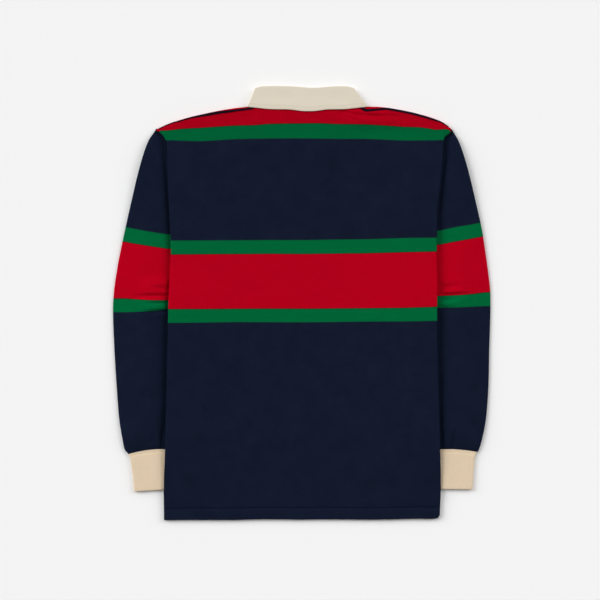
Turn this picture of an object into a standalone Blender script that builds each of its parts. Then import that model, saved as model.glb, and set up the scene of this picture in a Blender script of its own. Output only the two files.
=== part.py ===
"""A long-sleeved rugby shirt, laid flat on its front with its back uppermost.

The collar points to +Y and the hem to -Y. The sleeves lie beside the body, with their inner
folds and the cuffs tucked under it. Every piece that is cut and sewn is one object: a wall of the
cloth's thickness, built from sections. A section is a row of spots on the cloth's outer face, each
with the direction that faces out of the cloth there.
"""

import math
from collections import namedtuple

import bmesh
import bpy
from mathutils import Vector

MM = 0.001  # all sizes below are in millimetres

# Cloth
JERSEY = 1.4  # heavy cotton jersey of the body and sleeves
TWILL = 1.5  # two plies of cotton twill, in the collar
RIB = 1.8  # rib knit of the cuffs
TAPE = 1.0  # shoulder tape
PLACKET_CLOTH = 1.2
SEAM_GAP = 0.35  # between two pieces at a seam, and between layers that touch
HEM_DEPTH = 22.0  # the hem is turned up once by this much
HEM_STEP = 2.0  # over which the second ply ends
HEM_ROUND = 1.2  # how far in the hem's edge starts to round down
HEM_ROUND_DEPTH = 0.7  # how far it rounds down

# Heights above the surface that the shirt lies on
SLEEVE_TOP = 3.5  # upper face of a sleeve where it lies under the body
SLEEVE_CROWN = 1.3  # how much higher it is where nothing lies on it
UNDERARM_PUFF = 1.3  # and how much more beside the underarm
LIFT = 4.6  # lower face of the body where it lies on a sleeve
AIR = 1.4  # between the body's two plies at the sides
MIDDLE_TOP = 4.0  # upper face in the middle of the body
HEM_TOP = 6.4  # upper face at the hem, over four plies
ARMHOLE_TOP = 6.4  # upper face beside the armhole, up to the shoulder's outer end
NECK_TOP = 6.0  # upper face of the back at the neck seam
PLACKET_TOP = 6.9  # upper face of the back over the placket
NECK_LIFT = 2.05  # lower face of the front where it lies on the collar

# Body outline
HEM_Y = -385.5
TIP_LEFT_Y, TIP_RIGHT_Y = 308.2, 306.2
BodyRow = namedtuple("BodyRow", "y left right")
BODY_SIDES = [
    BodyRow(-385.5, -245.6, 246.2),
    BodyRow(-332.0, -245.8, 248.0),
    BodyRow(-261.0, -243.2, 246.8),
    BodyRow(-172.0, -240.3, 244.6),
    BodyRow(-83.0, -238.6, 242.2),
    BodyRow(0.0, -237.2, 241.2),
    BodyRow(30.0, -235.6, 242.0),
    BodyRow(95.0, -232.8, 240.8),
    BodyRow(166.0, -236.0, 243.0),
    BodyRow(237.0, -238.8, 250.0),
    BodyRow(284.0, -240.2, 254.0),
    BodyRow(297.0, -244.6, 257.6),
    BodyRow(309.0, -258.2, 268.4),
]
ShoulderRow = namedtuple("ShoulderRow", "x outline seam_depth")
SHOULDERS = [
    ShoulderRow(-258.2, 309.4, 1.0),
    ShoulderRow(-236.0, 321.0, 2.2),
    ShoulderRow(-202.0, 331.8, 3.4),
    ShoulderRow(-156.0, 342.4, 4.4),
    ShoulderRow(-127.0, 347.6, 5.4),
    ShoulderRow(-97.0, 351.0, 3.6),
    ShoulderRow(-79.0, 352.0, 1.2),
    ShoulderRow(97.0, 352.0, 1.2),
    ShoulderRow(118.0, 351.2, 5.6),
    ShoulderRow(140.0, 350.8, 5.6),
    ShoulderRow(165.0, 347.6, 4.0),
    ShoulderRow(213.0, 337.0, 3.4),
    ShoulderRow(245.0, 326.4, 3.0),
    ShoulderRow(261.0, 316.0, 2.0),
    ShoulderRow(268.4, 307.6, 1.0),
]
EDGE_SEAM = 0.5  # between the back's turned edge and the front's side
ARMHOLE_INSET = 2.1  # how far inside the body's edge the front's armhole is
ARMHOLE_TURN = math.radians(120)  # how far the back's edge turns down at the armhole
SIDE_TURN = math.radians(180)  # and at the side seam

# Neck
NECK_X = 9.0  # the middle of the neck
NECK_HALF = 88.0
NECK_SIDE_Y = 351.0  # where the neck seam meets the shoulder seam
BACK_NECK_DROP = 3.4
FRONT_NECK_DROP = 87.0
FRONT_NECK_POWER = 2.2

# Sleeves. The underarm is the lower end of the armhole.
UNDERARM_Y = 18.0
UNDERARM_RISE = 45.0  # the front climbs on to the sleeve over this length
MOUTH_LAP = 1.5  # the sleeve's upper edge lies this far under the body's edge
SleeveRow = namedtuple("SleeveRow", "y left right")
SLEEVE_OUTLINE = [
    SleeveRow(-268.0, -309.6, 312.0),
    SleeveRow(-261.0, -315.6, 316.3),
    SleeveRow(-243.0, -319.6, 321.8),
    SleeveRow(-208.0, -325.4, 328.8),
    SleeveRow(-154.0, -329.8, 333.2),
    SleeveRow(-83.0, -334.2, 335.0),
    SleeveRow(-12.0, -336.8, 337.0),
    SleeveRow(24.0, -334.0, 336.0),
    SleeveRow(77.0, -326.4, 330.0),
    SleeveRow(130.0, -315.6, 322.2),
    SleeveRow(184.0, -303.4, 310.2),
    SleeveRow(237.0, -290.7, 297.4),
    SleeveRow(273.0, -280.0, 286.5),
    SleeveRow(291.0, -272.8, 279.4),
    SleeveRow(307.0, -262.6, 270.6),
]
TiltRow = namedtuple("TiltRow", "y rise_left rise_right tuck")
SLEEVE_SECTIONS = [  # rise: how much higher a section's outer end is than its inner end
    TiltRow(-261.0, -8.0, -7.0, 30.0),
    TiltRow(-200.0, -4.0, -3.0, 33.0),
    TiltRow(-100.0, 0.0, 2.0, 40.0),
    TiltRow(-30.0, 2.0, 4.0, 42.0),
    TiltRow(6.0, 4.0, 6.0, 20.0),
    TiltRow(18.0, 5.0, 7.0, 8.0),
    TiltRow(60.0, 8.0, 11.0, 0.0),
    TiltRow(122.0, 12.0, 16.0, 0.0),
    TiltRow(240.0, 12.0, 14.0, 0.0),
    TiltRow(303.0, 4.0, 4.0, 0.0),
]
BESIDE_ARMHOLE = [303, 296, 286, 270, 235, 190, 140, 95, 64, 50, 36, 22]
SLEEVE_STATIONS = BESIDE_ARMHOLE + [18.0 - 4.5 * step for step in range(9)]
SLEEVE_STATIONS += [-24, -32, -48, -75, -110, -150, -190, -222, -245]
CUFF_SEAM_Y = -260.5
CreaseRow = namedtuple("CreaseRow", "side y_inner y_outer length half_width depth")
CREASES = [  # soft troughs that run outwards from the underarm
    CreaseRow(-1, 27.0, 31.0, 46.0, 3.4, 0.9),
    CreaseRow(-1, 15.0, 18.0, 40.0, 2.8, 1.4),
    CreaseRow(-1, 4.5, 5.5, 52.0, 3.0, 1.3),
    CreaseRow(-1, -5.5, -12.0, 42.0, 3.2, 1.2),
    CreaseRow(1, 32.0, 40.0, 44.0, 3.4, 1.0),
    CreaseRow(1, 13.5, 20.0, 50.0, 3.0, 1.5),
    CreaseRow(1, 4.0, 11.0, 36.0, 2.8, 1.2),
]

# Cuffs
CuffRow = namedtuple("CuffRow", "drop left right tuck")
CUFFS = [  # drop: how far below the sleeve seam the ring lies
    CuffRow(0.0, -304.6, 309.4, 28.0),
    CuffRow(10.0, -301.6, 307.6, 27.0),
    CuffRow(24.0, -299.8, 305.6, 26.0),
    CuffRow(46.0, -298.2, 303.8, 25.0),
    CuffRow(69.0, -297.2, 302.8, 25.0),
]
CUFF_TILT_LEFT, CUFF_TILT_RIGHT = -3.6, 0.0  # the outer end's rise at the cuff's free edge
CUFF_TOP = 4.2

# Collar: a stand that rises from the neck seam and a fall that turns down over it. Flattened,
# it wraps round an axis at each side of the neck.
COLLAR_AXIS_Z = 4.0
COLLAR_SIDE_GAP = 0.6  # between the collar and the body at the neck's sides
FALL_RADIUS = 4.0
STAND_RADIUS = 0.25
FOLD_CENTRE_X, EDGE_CENTRE_X = 5.0, 10.0
CollarRow = namedtuple("CollarRow", "neck_x fold_x fold_y edge_x edge_y turn parts")
COLLAR_HALF = [  # x from the collar's middle; turn 90 is on the back and -90 under the front
    CollarRow(0.0, 0.0, 384.2, 0.0, 342.4, 90, 1),
    CollarRow(26.0, 28.0, 386.0, 32.0, 345.0, 90, 1),
    CollarRow(52.0, 56.0, 387.0, 66.0, 346.8, 90, 1),
    CollarRow(74.0, 76.0, 386.4, 92.0, 349.0, 90, 2),
    CollarRow(84.0, 84.0, 383.6, 103.0, 352.2, 90, 3),
    CollarRow(86.0, 84.0, 383.2, 103.0, 352.6, 0, 3),
    CollarRow(85.0, 83.0, 378.0, 104.0, 349.0, -90, 1),
    CollarRow(80.0, 74.0, 362.0, 107.0, 325.0, -90, 1),
    CollarRow(70.0, 58.0, 340.0, 106.0, 298.0, -90, 1),
    CollarRow(52.0, 38.0, 315.0, 98.0, 274.0, -90, 1),
    CollarRow(32.0, 20.0, 300.0, 82.0, 254.0, -90, 1),
    CollarRow(5.0, 5.0, 292.0, 58.0, 240.0, -90, 1),
]

# Placket and buttons, on the front
PLACKET_WIDTH = 32.0
PLACKET_TOP_Y = 264.0
PLACKET_BOTTOM_Y = 105.0
BUTTON_RADIUS = 7.5
BUTTON_HEIGHT = 1.7
BUTTON_COUNT = 3
FIRST_BUTTON_Y = 250.0
BUTTON_SPACING = 54.0

# Shoulder tape
TAPE_WIDTH = 5.0
TAPE_CLEAR_OF_COLLAR = 1.0

# How finely the cloth is divided
SHOULDER_COLUMNS = [0.0, 0.03, 0.08, 0.15, 0.25, 0.38, 0.54, 0.76, 1.0]  # from a side to the neck
BACK_NECK_COLUMNS = [-0.8, -0.48, -0.16, 0.16, 0.48, 0.8]
TURN_STEPS = 5
Steps = namedtuple("Steps", "top bottom turn")
SLEEVE_STEPS = Steps(10, 3, 4)
CUFF_STEPS = Steps(5, 3, 4)
COLLAR_FLAT_STEPS = 3
COLLAR_TURN_STEPS = 4
UP = (0.0, 0.0, 1.0)
DOWN = (0.0, 0.0, -1.0)

# Stripes, as distances up the body and up a sleeve
NAVY = (0.0075, 0.0110, 0.0262)
RED = (0.4400, 0.0010, 0.0110)
GREEN = (0.0010, 0.1240, 0.0370)
COLLAR_CREAM = (0.7080, 0.6380, 0.5210)
CUFF_CREAM = (0.7000, 0.5650, 0.4020)
RUBBER = (0.7500, 0.7000, 0.6000)
StripeRow = namedtuple("StripeRow", "y colour")
BODY_STRIPES = [
    StripeRow(-35.0, GREEN),
    StripeRow(-10.0, RED),
    StripeRow(88.0, GREEN),
    StripeRow(113.0, NAVY),
    StripeRow(292.0, GREEN),
    StripeRow(317.0, RED),
]
SLEEVE_STRIPES = [
    StripeRow(-13.0, GREEN),
    StripeRow(8.0, RED),
    StripeRow(102.0, GREEN),
    StripeRow(127.0, NAVY),
]
STRIPE_LOW, STRIPE_HIGH = -400.0, 400.0


def smooth(share):
    """0 to 1, starting and ending gently."""
    share = min(1.0, max(0.0, share))
    return share * share * (3 - 2 * share)


def ramp(value, start, end):
    """0 before start and 1 after end, either way round."""
    return smooth((value - start) / (end - start))


def mix(low, high, share):
    return low + (high - low) * share


def through(rows, at, column):
    """A smooth function of the column named at, through the other column's values."""
    places = [getattr(row, at) for row in rows]
    values = [getattr(row, column) for row in rows]
    last = len(rows) - 1
    slopes = []
    for i in range(last + 1):
        before, after = max(i - 1, 0), min(i + 1, last)
        slopes.append((values[after] - values[before]) / (places[after] - places[before]))

    def value(place):
        place = min(max(place, places[0]), places[-1])
        i = next(k for k in range(last) if place <= places[k + 1])
        span = places[i + 1] - places[i]
        t = (place - places[i]) / span
        return (
            (1 + 2 * t) * (1 - t) ** 2 * values[i]
            + t * (1 - t) ** 2 * span * slopes[i]
            + t * t * (3 - 2 * t) * values[i + 1]
            + t * t * (t - 1) * span * slopes[i + 1]
        )

    return value


def by_side(rows, left, right):
    return {-1: through(rows, "y", left), 1: through(rows, "y", right)}


body_edge = by_side(BODY_SIDES, "left", "right")
sleeve_edge = by_side(SLEEVE_OUTLINE, "left", "right")
sleeve_rise = by_side(SLEEVE_SECTIONS, "rise_left", "rise_right")
sleeve_tuck = through(SLEEVE_SECTIONS, "y", "tuck")
shoulder_outline = through(SHOULDERS, "x", "outline")
shoulder_seam_depth = through(SHOULDERS, "x", "seam_depth")
CUFF_END_Y = CUFF_SEAM_Y - CUFFS[-1].drop


def inward(x, y):
    """How far a point lies inside the nearer side of the body."""
    return min(x - body_edge[-1](y), body_edge[1](y) - x)


def over_collar(x, y, reach):
    """1 over the collar's leaves under the front, falling to 0 at reach beyond them."""
    across = max(0.0, abs(x - NECK_X) - 112.0) / reach
    below = max(0.0, 232.0 - y) / reach
    return 1 - smooth(math.hypot(across, below))


def over_placket(x, y, reach):
    """1 over the placket, falling to 0 at reach beyond it."""
    across = max(0.0, abs(x - NECK_X) - PLACKET_WIDTH / 2) / reach
    below = max(0.0, PLACKET_BOTTOM_Y - y) / reach
    return 1 - smooth(math.hypot(across, below))


def on_sleeve(y):
    """1 where the body's side lies on a sleeve or a cuff, 0 where it lies on the surface."""
    above_hem = ramp(y, CUFF_END_Y - 28, CUFF_END_Y - 5)
    return above_hem * ramp(y, UNDERARM_Y + UNDERARM_RISE, UNDERARM_Y + 4)


def front_bottom(x, y):
    """Height of the front's outer face, which is its lower one."""
    tuck = max(sleeve_tuck(y), CUFFS[0].tuck) + 8
    sleeve = LIFT * on_sleeve(y) * ramp(inward(x, y), tuck + 34, tuck)
    return max(sleeve, NECK_LIFT * max(over_collar(x, y, 34), over_placket(x, y, 34)))


def back_top(x, y):
    """Height of the back's outer face, which is its upper one."""
    side_top = mix(LIFT + 2 * JERSEY + AIR, ARMHOLE_TOP, ramp(y, UNDERARM_Y, UNDERARM_Y + 50))
    side_top = mix(HEM_TOP, side_top, ramp(y, CUFF_END_Y - 40, CUFF_END_Y - 2))
    tuck = CUFFS[0].tuck + 18
    return max(
        mix(MIDDLE_TOP, side_top, ramp(inward(x, y), tuck + 90, tuck)),
        mix(MIDDLE_TOP, HEM_TOP, ramp(y, HEM_Y + 70, HEM_Y + HEM_DEPTH + 4)),
        mix(MIDDLE_TOP, NECK_TOP, over_collar(x, y, 60)),
        mix(MIDDLE_TOP, PLACKET_TOP, over_placket(x, y, 60) * ramp(y, 310, 276)),
    )


def fold_radius(x, y):
    """Half the body's thickness, which is the radius of a fold at its edge."""
    return (back_top(x, y) - front_bottom(x, y)) / 2


def shoulder_spot(x, depth, raised=0.0):
    """A spot on the body's upper face at a depth below the shoulder's outline, measured in plan."""
    outline = shoulder_outline(x)
    radius = fold_radius(x, outline - 4)
    middle = back_top(x, outline - depth) - radius
    angle = math.acos(1 - min(1.0, max(0.0, depth / radius)))
    out = (0.0, math.cos(angle), math.sin(angle))
    place = (x, outline - depth, middle + radius * math.sin(angle))
    return tuple(at + raised * way for at, way in zip(place, out)), out


def neck_share(x):
    return min(1.0, abs((x - NECK_X) / NECK_HALF))


def back_neck_y(x):
    return NECK_SIDE_Y - BACK_NECK_DROP * (1 - neck_share(x) ** 2)


def front_neck_y(x):
    return NECK_SIDE_Y - 2 - FRONT_NECK_DROP * (1 - neck_share(x) ** FRONT_NECK_POWER)


def hem_y(x):
    """The hem's slight waves."""
    return HEM_Y + 0.9 * math.sin(x / 61 + 0.4) + 0.5 * math.sin(x / 23)


def cloth(name, grid, thickness, material, keep=lambda row, column: True, loop=False):
    """A closed wall from rows of spots on its outer face. keep says which cells of the grid are
    cloth. thickness is one number, or a list with a number for each row. A loop joins each row's ends."""
    made = bmesh.new()
    wall = thickness if isinstance(thickness, list) else [thickness] * len(grid)
    outer, inner = {}, {}
    for r, row in enumerate(grid):
        for c, (place, out) in enumerate(row):
            outer[r, c] = made.verts.new([at * MM for at in place])
            inner[r, c] = made.verts.new([(at - wall[r] * way) * MM for at, way in zip(place, out)])
    columns = len(grid[0])
    cells = range(columns if loop else columns - 1)
    kept = {(r, c) for r in range(len(grid) - 1) for c in cells if keep(r, c)}
    for r, c in sorted(kept):
        after = (c + 1) % columns
        corners = [(r, c), (r, after), (r + 1, after), (r + 1, c)]
        made.faces.new([outer[corner] for corner in corners])
        made.faces.new([inner[corner] for corner in reversed(corners)])
        before = (c - 1) % columns if loop else c - 1
        neighbours = [(r - 1, c), (r, after if loop else c + 1), (r + 1, c), (r, before)]
        for step, neighbour in enumerate(neighbours):
            if neighbour not in kept:
                a, b = corners[step], corners[(step + 1) % 4]
                made.faces.new((outer[b], outer[a], inner[a], inner[b]))
    unused = [vertex for vertex in made.verts if not vertex.link_faces]
    bmesh.ops.delete(made, geom=unused, context="VERTS")
    mesh = bpy.data.meshes.new(name)
    made.to_mesh(mesh)
    made.free()
    mesh.materials.append(material)
    obj = bpy.data.objects.new(name, mesh)
    bpy.context.scene.collection.objects.link(obj)
    mesh.shade_smooth()
    return obj


def plain_cloth(name, colour, roughness=0.9):
    """A matt woven or knitted cloth of one colour."""
    material = bpy.data.materials.new(name)
    material.use_nodes = True
    shader = material.node_tree.nodes["Principled BSDF"]
    shader.inputs["Base Color"].default_value = (*colour, 1)
    shader.inputs["Roughness"].default_value = roughness
    return material


def striped_cloth(name, stripes):
    """Navy jersey with knitted stripes across it, at their real distances along Y."""
    material = plain_cloth(name, NAVY)
    nodes, links = material.node_tree.nodes, material.node_tree.links
    place = nodes.new("ShaderNodeNewGeometry")
    split = nodes.new("ShaderNodeSeparateXYZ")
    share = nodes.new("ShaderNodeMapRange")
    bands = nodes.new("ShaderNodeValToRGB")
    share.inputs["From Min"].default_value = STRIPE_LOW * MM
    share.inputs["From Max"].default_value = STRIPE_HIGH * MM
    ramp_of_bands = bands.color_ramp
    ramp_of_bands.interpolation = "CONSTANT"
    ramp_of_bands.elements.remove(ramp_of_bands.elements[1])
    ramp_of_bands.elements[0].color = (*NAVY, 1)
    for number, stripe in enumerate(stripes):
        start = (stripe.y - STRIPE_LOW) / (STRIPE_HIGH - STRIPE_LOW)
        colour = stripe.colour
        if number == 0:
            colour = GREEN
        ramp_of_bands.elements.new(start).color = (*colour, 1)
    links.new(place.outputs["Position"], split.inputs[0])
    links.new(split.outputs["Y"], share.inputs["Value"])
    links.new(share.outputs["Result"], bands.inputs["Fac"])
    links.new(bands.outputs["Color"], material.node_tree.nodes["Principled BSDF"].inputs["Base Color"])
    return material


def body_rows():
    """Shares of the way from the hem to the shoulder at which the body's sections lie."""
    near_hem = [0.0, HEM_ROUND, HEM_DEPTH, HEM_DEPTH + HEM_STEP]
    heights = [-350, -335, -300, -262, -215, -150, -85, -30, 8] + BESIDE_ARMHOLE[::-1]
    length = TIP_LEFT_Y - HEM_Y
    return [share / length for share in near_hem] + [(y - HEM_Y) / length for y in heights] + [1.0]


def plies(rows):
    """The body's wall for each of its sections: the hem has two plies."""
    end = (HEM_DEPTH + 0.1) / (TIP_LEFT_Y - HEM_Y)
    return [2 * JERSEY if share <= end else JERSEY for share in rows]


def edge_row_y(side, share):
    return mix(HEM_Y, TIP_LEFT_Y if side < 0 else TIP_RIGHT_Y, share)


def edge_turn(side, share, steps):
    """The back's edge, from its flat to its end: it turns down round the body's side. It goes all
    the way under to the side seam, and at the armhole only down to the sleeve."""
    y = edge_row_y(side, share)
    edge = body_edge[side](y)
    inner = edge - side * 6
    top = back_top(inner, y)
    closed = ramp(y, UNDERARM_Y + UNDERARM_RISE, UNDERARM_Y + 4)
    turn = mix(ARMHOLE_TURN, SIDE_TURN, closed)
    low = front_bottom(inner, y) if y < UNDERARM_Y else LIFT
    end = mix(SLEEVE_TOP + SEAM_GAP, low, closed)
    radius = (top - end) / (1 - math.cos(turn))
    spots = []
    for step in range(steps + 1):
        angle = turn * step / steps
        x = edge - side * radius * (1 - math.sin(angle))
        out = (side * math.sin(angle), 0.0, math.cos(angle))
        spots.append(((x, y, top - radius * (1 - math.cos(angle))), out))
    return spots


def front_end(side, share):
    """The x of the front's side edge, inside the back's turned edge."""
    y = edge_row_y(side, share)
    edge = body_edge[side](y)
    closed = ramp(y, UNDERARM_Y + UNDERARM_RISE, UNDERARM_Y + 4)
    radius = max(ARMHOLE_INSET, fold_radius(edge - side * 6, y))
    return edge - side * (EDGE_SEAM + mix(ARMHOLE_INSET, radius, closed))


def shoulder_xs(side, end):
    """Where the columns of the body's shoulder part lie, from a side's end in to the neck."""
    return [mix(end, NECK_X + side * NECK_HALF, part) for part in SHOULDER_COLUMNS]


def make_back(material):
    """The back, from the left side seam over the top to the right side seam."""
    rows = body_rows()
    grid = []
    for share in rows:
        turns = {side: edge_turn(side, share, TURN_STEPS) for side in (-1, 1)}
        left = shoulder_xs(-1, turns[-1][0][0][0])[1:]
        right = shoulder_xs(1, turns[1][0][0][0])[:0:-1]
        neck = [NECK_X + NECK_HALF * part for part in BACK_NECK_COLUMNS]
        flat = []
        for x in left:
            flat.append(back_shoulder_spot(x, share))
        for x in neck:
            y = mix(hem_y(x), back_neck_y(x) - SEAM_GAP, share)
            flat.append(((x, y, back_top(x, y)), UP))
        for x in right:
            flat.append(back_shoulder_spot(x, share))
        grid.append(turns[-1][::-1] + flat + turns[1])
    grid[0] = [(lowered(place, out, HEM_ROUND_DEPTH), out) for place, out in grid[0]]
    thickness = plies(rows)
    thickness[0] -= HEM_ROUND_DEPTH
    return cloth("back", grid, thickness, material)


def back_shoulder_spot(x, share):
    outline = shoulder_outline(x)
    y = mix(hem_y(x), outline - shoulder_seam_depth(x) - SEAM_GAP / 2, share)
    return shoulder_spot(x, outline - y)


def lowered(place, out, depth):
    return tuple(at - depth * way for at, way in zip(place, out))


def turned_edge(x, share):
    """A spot of the front where it turns over the shoulder's edge, from its flat to the seam."""
    outline = shoulder_outline(x)
    radius = fold_radius(x, outline - 4)
    depth = shoulder_seam_depth(x) - SEAM_GAP / 2
    quarter = math.pi / 2 * radius
    end = quarter + radius * math.acos(1 - min(1.0, depth / radius)) + max(0.0, depth - radius)
    arc = end * share
    angle = min(arc / radius, math.pi) - math.pi / 2
    past = max(0.0, arc - 2 * quarter)
    out = (0.0, math.cos(angle), math.sin(angle))
    low = front_bottom(x, outline - radius)
    return (x, outline - radius * (1 - out[1]) - past, low + radius * (1 + out[2])), out


def make_front(material):
    """The front, with the slit for the placket. At each shoulder it turns over the body's edge."""
    half_slit = PLACKET_WIDTH / 2 + SEAM_GAP
    rows = body_rows()
    slit_share = (PLACKET_BOTTOM_Y - HEM_Y) / (front_neck_y(NECK_X + half_slit) - HEM_Y)
    slit_row = min(range(len(rows)), key=lambda r: abs(rows[r] - slit_share))
    rows[slit_row] = slit_share
    grid = []
    for share in rows:
        row = []
        for side in (-1, 1):
            shoulder = shoulder_xs(side, front_end(side, share))
            neck = [NECK_X + side * row.neck_x for row in COLLAR_HALF if row.turn < 0]
            neck[-1] = NECK_X + side * half_slit
            half = []
            for x in shoulder:
                outline = shoulder_outline(x)
                y = mix(hem_y(x), outline - fold_radius(x, outline - 4), share)
                half.append(((x, y, front_bottom(x, y)), DOWN))
            for x in neck:
                y = mix(hem_y(x), front_neck_y(x), share)
                half.append(((x, y, front_bottom(x, y)), DOWN))
            row += half if side < 0 else half[::-1]
        grid.append(row)
    grid[0] = [(lowered(place, out, HEM_ROUND_DEPTH), out) for place, out in grid[0]]
    thickness = plies(rows)
    thickness[0] -= HEM_ROUND_DEPTH
    last_flat = grid[-1]
    for step in range(1, TURN_STEPS + 1):
        grid.append([turned_edge(place[0], step / TURN_STEPS) for place, _ in last_flat])
        thickness.append(JERSEY)
    neck_starts = len(SHOULDER_COLUMNS) - 1
    middle = len(last_flat) // 2 - 1
    last_column = len(last_flat) - 2

    def keep(row, column):
        in_slit = column == middle and row >= slit_row
        over_neck = neck_starts <= column <= last_column - neck_starts and row >= len(rows) - 1
        return not in_slit and not over_neck

    mirrored = [row[::-1] for row in grid]
    return cloth("front", mirrored, thickness, material, keep=lambda r, c: keep(r, last_column - c))


def crease_depth(side, x, y):
    """How far the creases that run out from the underarm lower the sleeve's upper face."""
    depth = 0.0
    for crease in CREASES:
        if crease.side == side:
            out = side * (x - body_edge[side](y))
            share = out / crease.length
            line_y = mix(crease.y_inner, crease.y_outer, share)
            depth += crease.depth * ramp(share, 1.0, 0.35) * math.exp(-(((y - line_y) / crease.half_width) ** 2))
    return depth


def sleeve_top(side, x, y):
    """Height of the sleeve's upper face: pressed flat under the body, and fuller beside it."""
    beside = side * (x - body_edge[side](min(y, 300.0)))
    crown = SLEEVE_CROWN * ramp(beside, 1, 16) * ramp(y, 306, 285)
    puff = UNDERARM_PUFF * ramp(beside, 0.5, 7) * ramp(beside, 70, 30) * ramp(abs(y - 10), 42, 20)
    return max(SLEEVE_TOP, SLEEVE_TOP + crown + puff - crease_depth(side, x, y) * ramp(beside, 1, 7))


def flattened(inner, outer, top_of, radius_in, radius_out, steps):
    """One section of a flattened tube, from the inner end of its upper ply round the outer fold to
    the inner end of its lower ply, and round the inner fold. inner and outer are its ends in plan.
    steps has the upper ply's, the lower ply's and each fold's."""
    top_steps, bottom_steps, turn_steps = steps
    (ax, ay), (bx, by) = inner, outer
    length = math.hypot(bx - ax, by - ay)
    ux, uy = (bx - ax) / length, (by - ay) / length
    spots = []

    def add(along, z, out_along, out_up):
        spots.append(((ax + ux * along, ay + uy * along, z), (ux * out_along, uy * out_along, out_up)))

    for step in range(top_steps + 1):
        along = mix(radius_in, length - radius_out, (step / top_steps) ** 1.25)
        add(along, top_of(ax + ux * along, ay + uy * along), 0.0, 1.0)
    outer_top = spots[-1][0][2]
    for step in range(1, turn_steps):
        angle = math.pi * step / turn_steps
        along = length - radius_out * (1 - math.sin(angle))
        add(along, outer_top * (1 + math.cos(angle)) / 2, math.sin(angle), math.cos(angle))
    for step in range(bottom_steps + 1):
        add(mix(length - radius_out, radius_in, step / bottom_steps), 0.0, 0.0, -1.0)
    inner_top = spots[0][0][2]
    for step in range(1, turn_steps):
        angle = math.pi * step / turn_steps
        along = radius_in * (1 - math.sin(angle))
        add(along, inner_top * (1 - math.cos(angle)) / 2, -math.sin(angle), -math.cos(angle))
    return spots


def make_sleeve(side, name, material):
    """A sleeve from its armhole to the cuff seam. Above the underarm it is open towards the body."""
    steps = SLEEVE_STEPS
    lower_start = steps.top + steps.turn
    lower_end = lower_start + steps.bottom
    stations = SLEEVE_STATIONS + [CUFF_SEAM_Y + SEAM_GAP]
    grid = []
    for y in stations:
        closed = y <= UNDERARM_Y
        edge = body_edge[side](y)
        inner_x = edge - side * (sleeve_tuck(y) if closed else MOUTH_LAP)
        outer_y = y + sleeve_rise[side](y)
        outer = (sleeve_edge[side](outer_y), outer_y)
        radius_in = SLEEVE_TOP / 2 if closed else 0.0
        row = flattened((inner_x, y), outer, lambda px, py: sleeve_top(side, px, py), radius_in, 2.4, steps)
        if not closed:
            (start_x, start_y, _), _ = row[lower_start]
            end_x = edge - side * (ARMHOLE_INSET + EDGE_SEAM - SEAM_GAP)
            for step in range(steps.bottom + 1):
                share = step / steps.bottom
                row[lower_start + step] = ((mix(start_x, end_x, share), mix(start_y, y, share), 0.0), DOWN)
        grid.append(row)
    first_closed = next(r for r, y in enumerate(stations) if y <= UNDERARM_Y)
    width = len(grid[0])

    def keep(row, column):
        step = column if side < 0 else (width - 2 - column) % width
        return step < lower_end or row >= first_closed

    if side > 0:
        grid = [row[::-1] for row in grid]
    return cloth(name, grid, JERSEY, material, keep=keep, loop=True)


def make_cuff(side, name, material):
    """A rib cuff: a flattened tube from the sleeve seam to its free edge."""
    tilt = CUFF_TILT_LEFT if side < 0 else CUFF_TILT_RIGHT
    start_rise = sleeve_rise[side](CUFF_SEAM_Y)
    outline = through(CUFFS, "drop", "left" if side < 0 else "right")
    tuck = through(CUFFS, "drop", "tuck")
    radius = CUFF_TOP / 2
    grid = []
    for share in (0.0, 0.12, 0.3, 0.55, 0.8, 1.0):
        drop = CUFFS[-1].drop * share
        y = CUFF_SEAM_Y - SEAM_GAP / 2 - drop
        inner = (body_edge[side](y) - side * tuck(drop), y)
        outer = (outline(drop), y + mix(start_rise, tilt, share))
        grid.append(flattened(inner, outer, lambda px, py: CUFF_TOP, radius, radius, CUFF_STEPS))
    if side > 0:
        grid = [row[::-1] for row in grid]
    return cloth(name, grid, RIB, material, loop=True)


def collar_stations():
    """The collar's sections from its left front, round the back, to its right front."""
    numbered = namedtuple("Numbered", ("number", *CollarRow._fields))
    rows = [numbered(number, *row) for number, row in enumerate(COLLAR_HALF)]
    curves = {field: through(rows, "number", field) for field in CollarRow._fields}
    places = []
    for number, row in enumerate(COLLAR_HALF[:-1]):
        places += [number + part / row.parts for part in range(row.parts)]
    places.append(len(COLLAR_HALF) - 1)
    half = []
    for place in places:
        low = min(int(place), len(COLLAR_HALF) - 2)
        turn = mix(COLLAR_HALF[low].turn, COLLAR_HALF[low + 1].turn, place - low)
        half.append(CollarRow(*[curves[field](place) for field in CollarRow._fields])._replace(turn=turn))
    return [(station, -1) for station in half[:0:-1]] + [(station, 1) for station in half]


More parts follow.
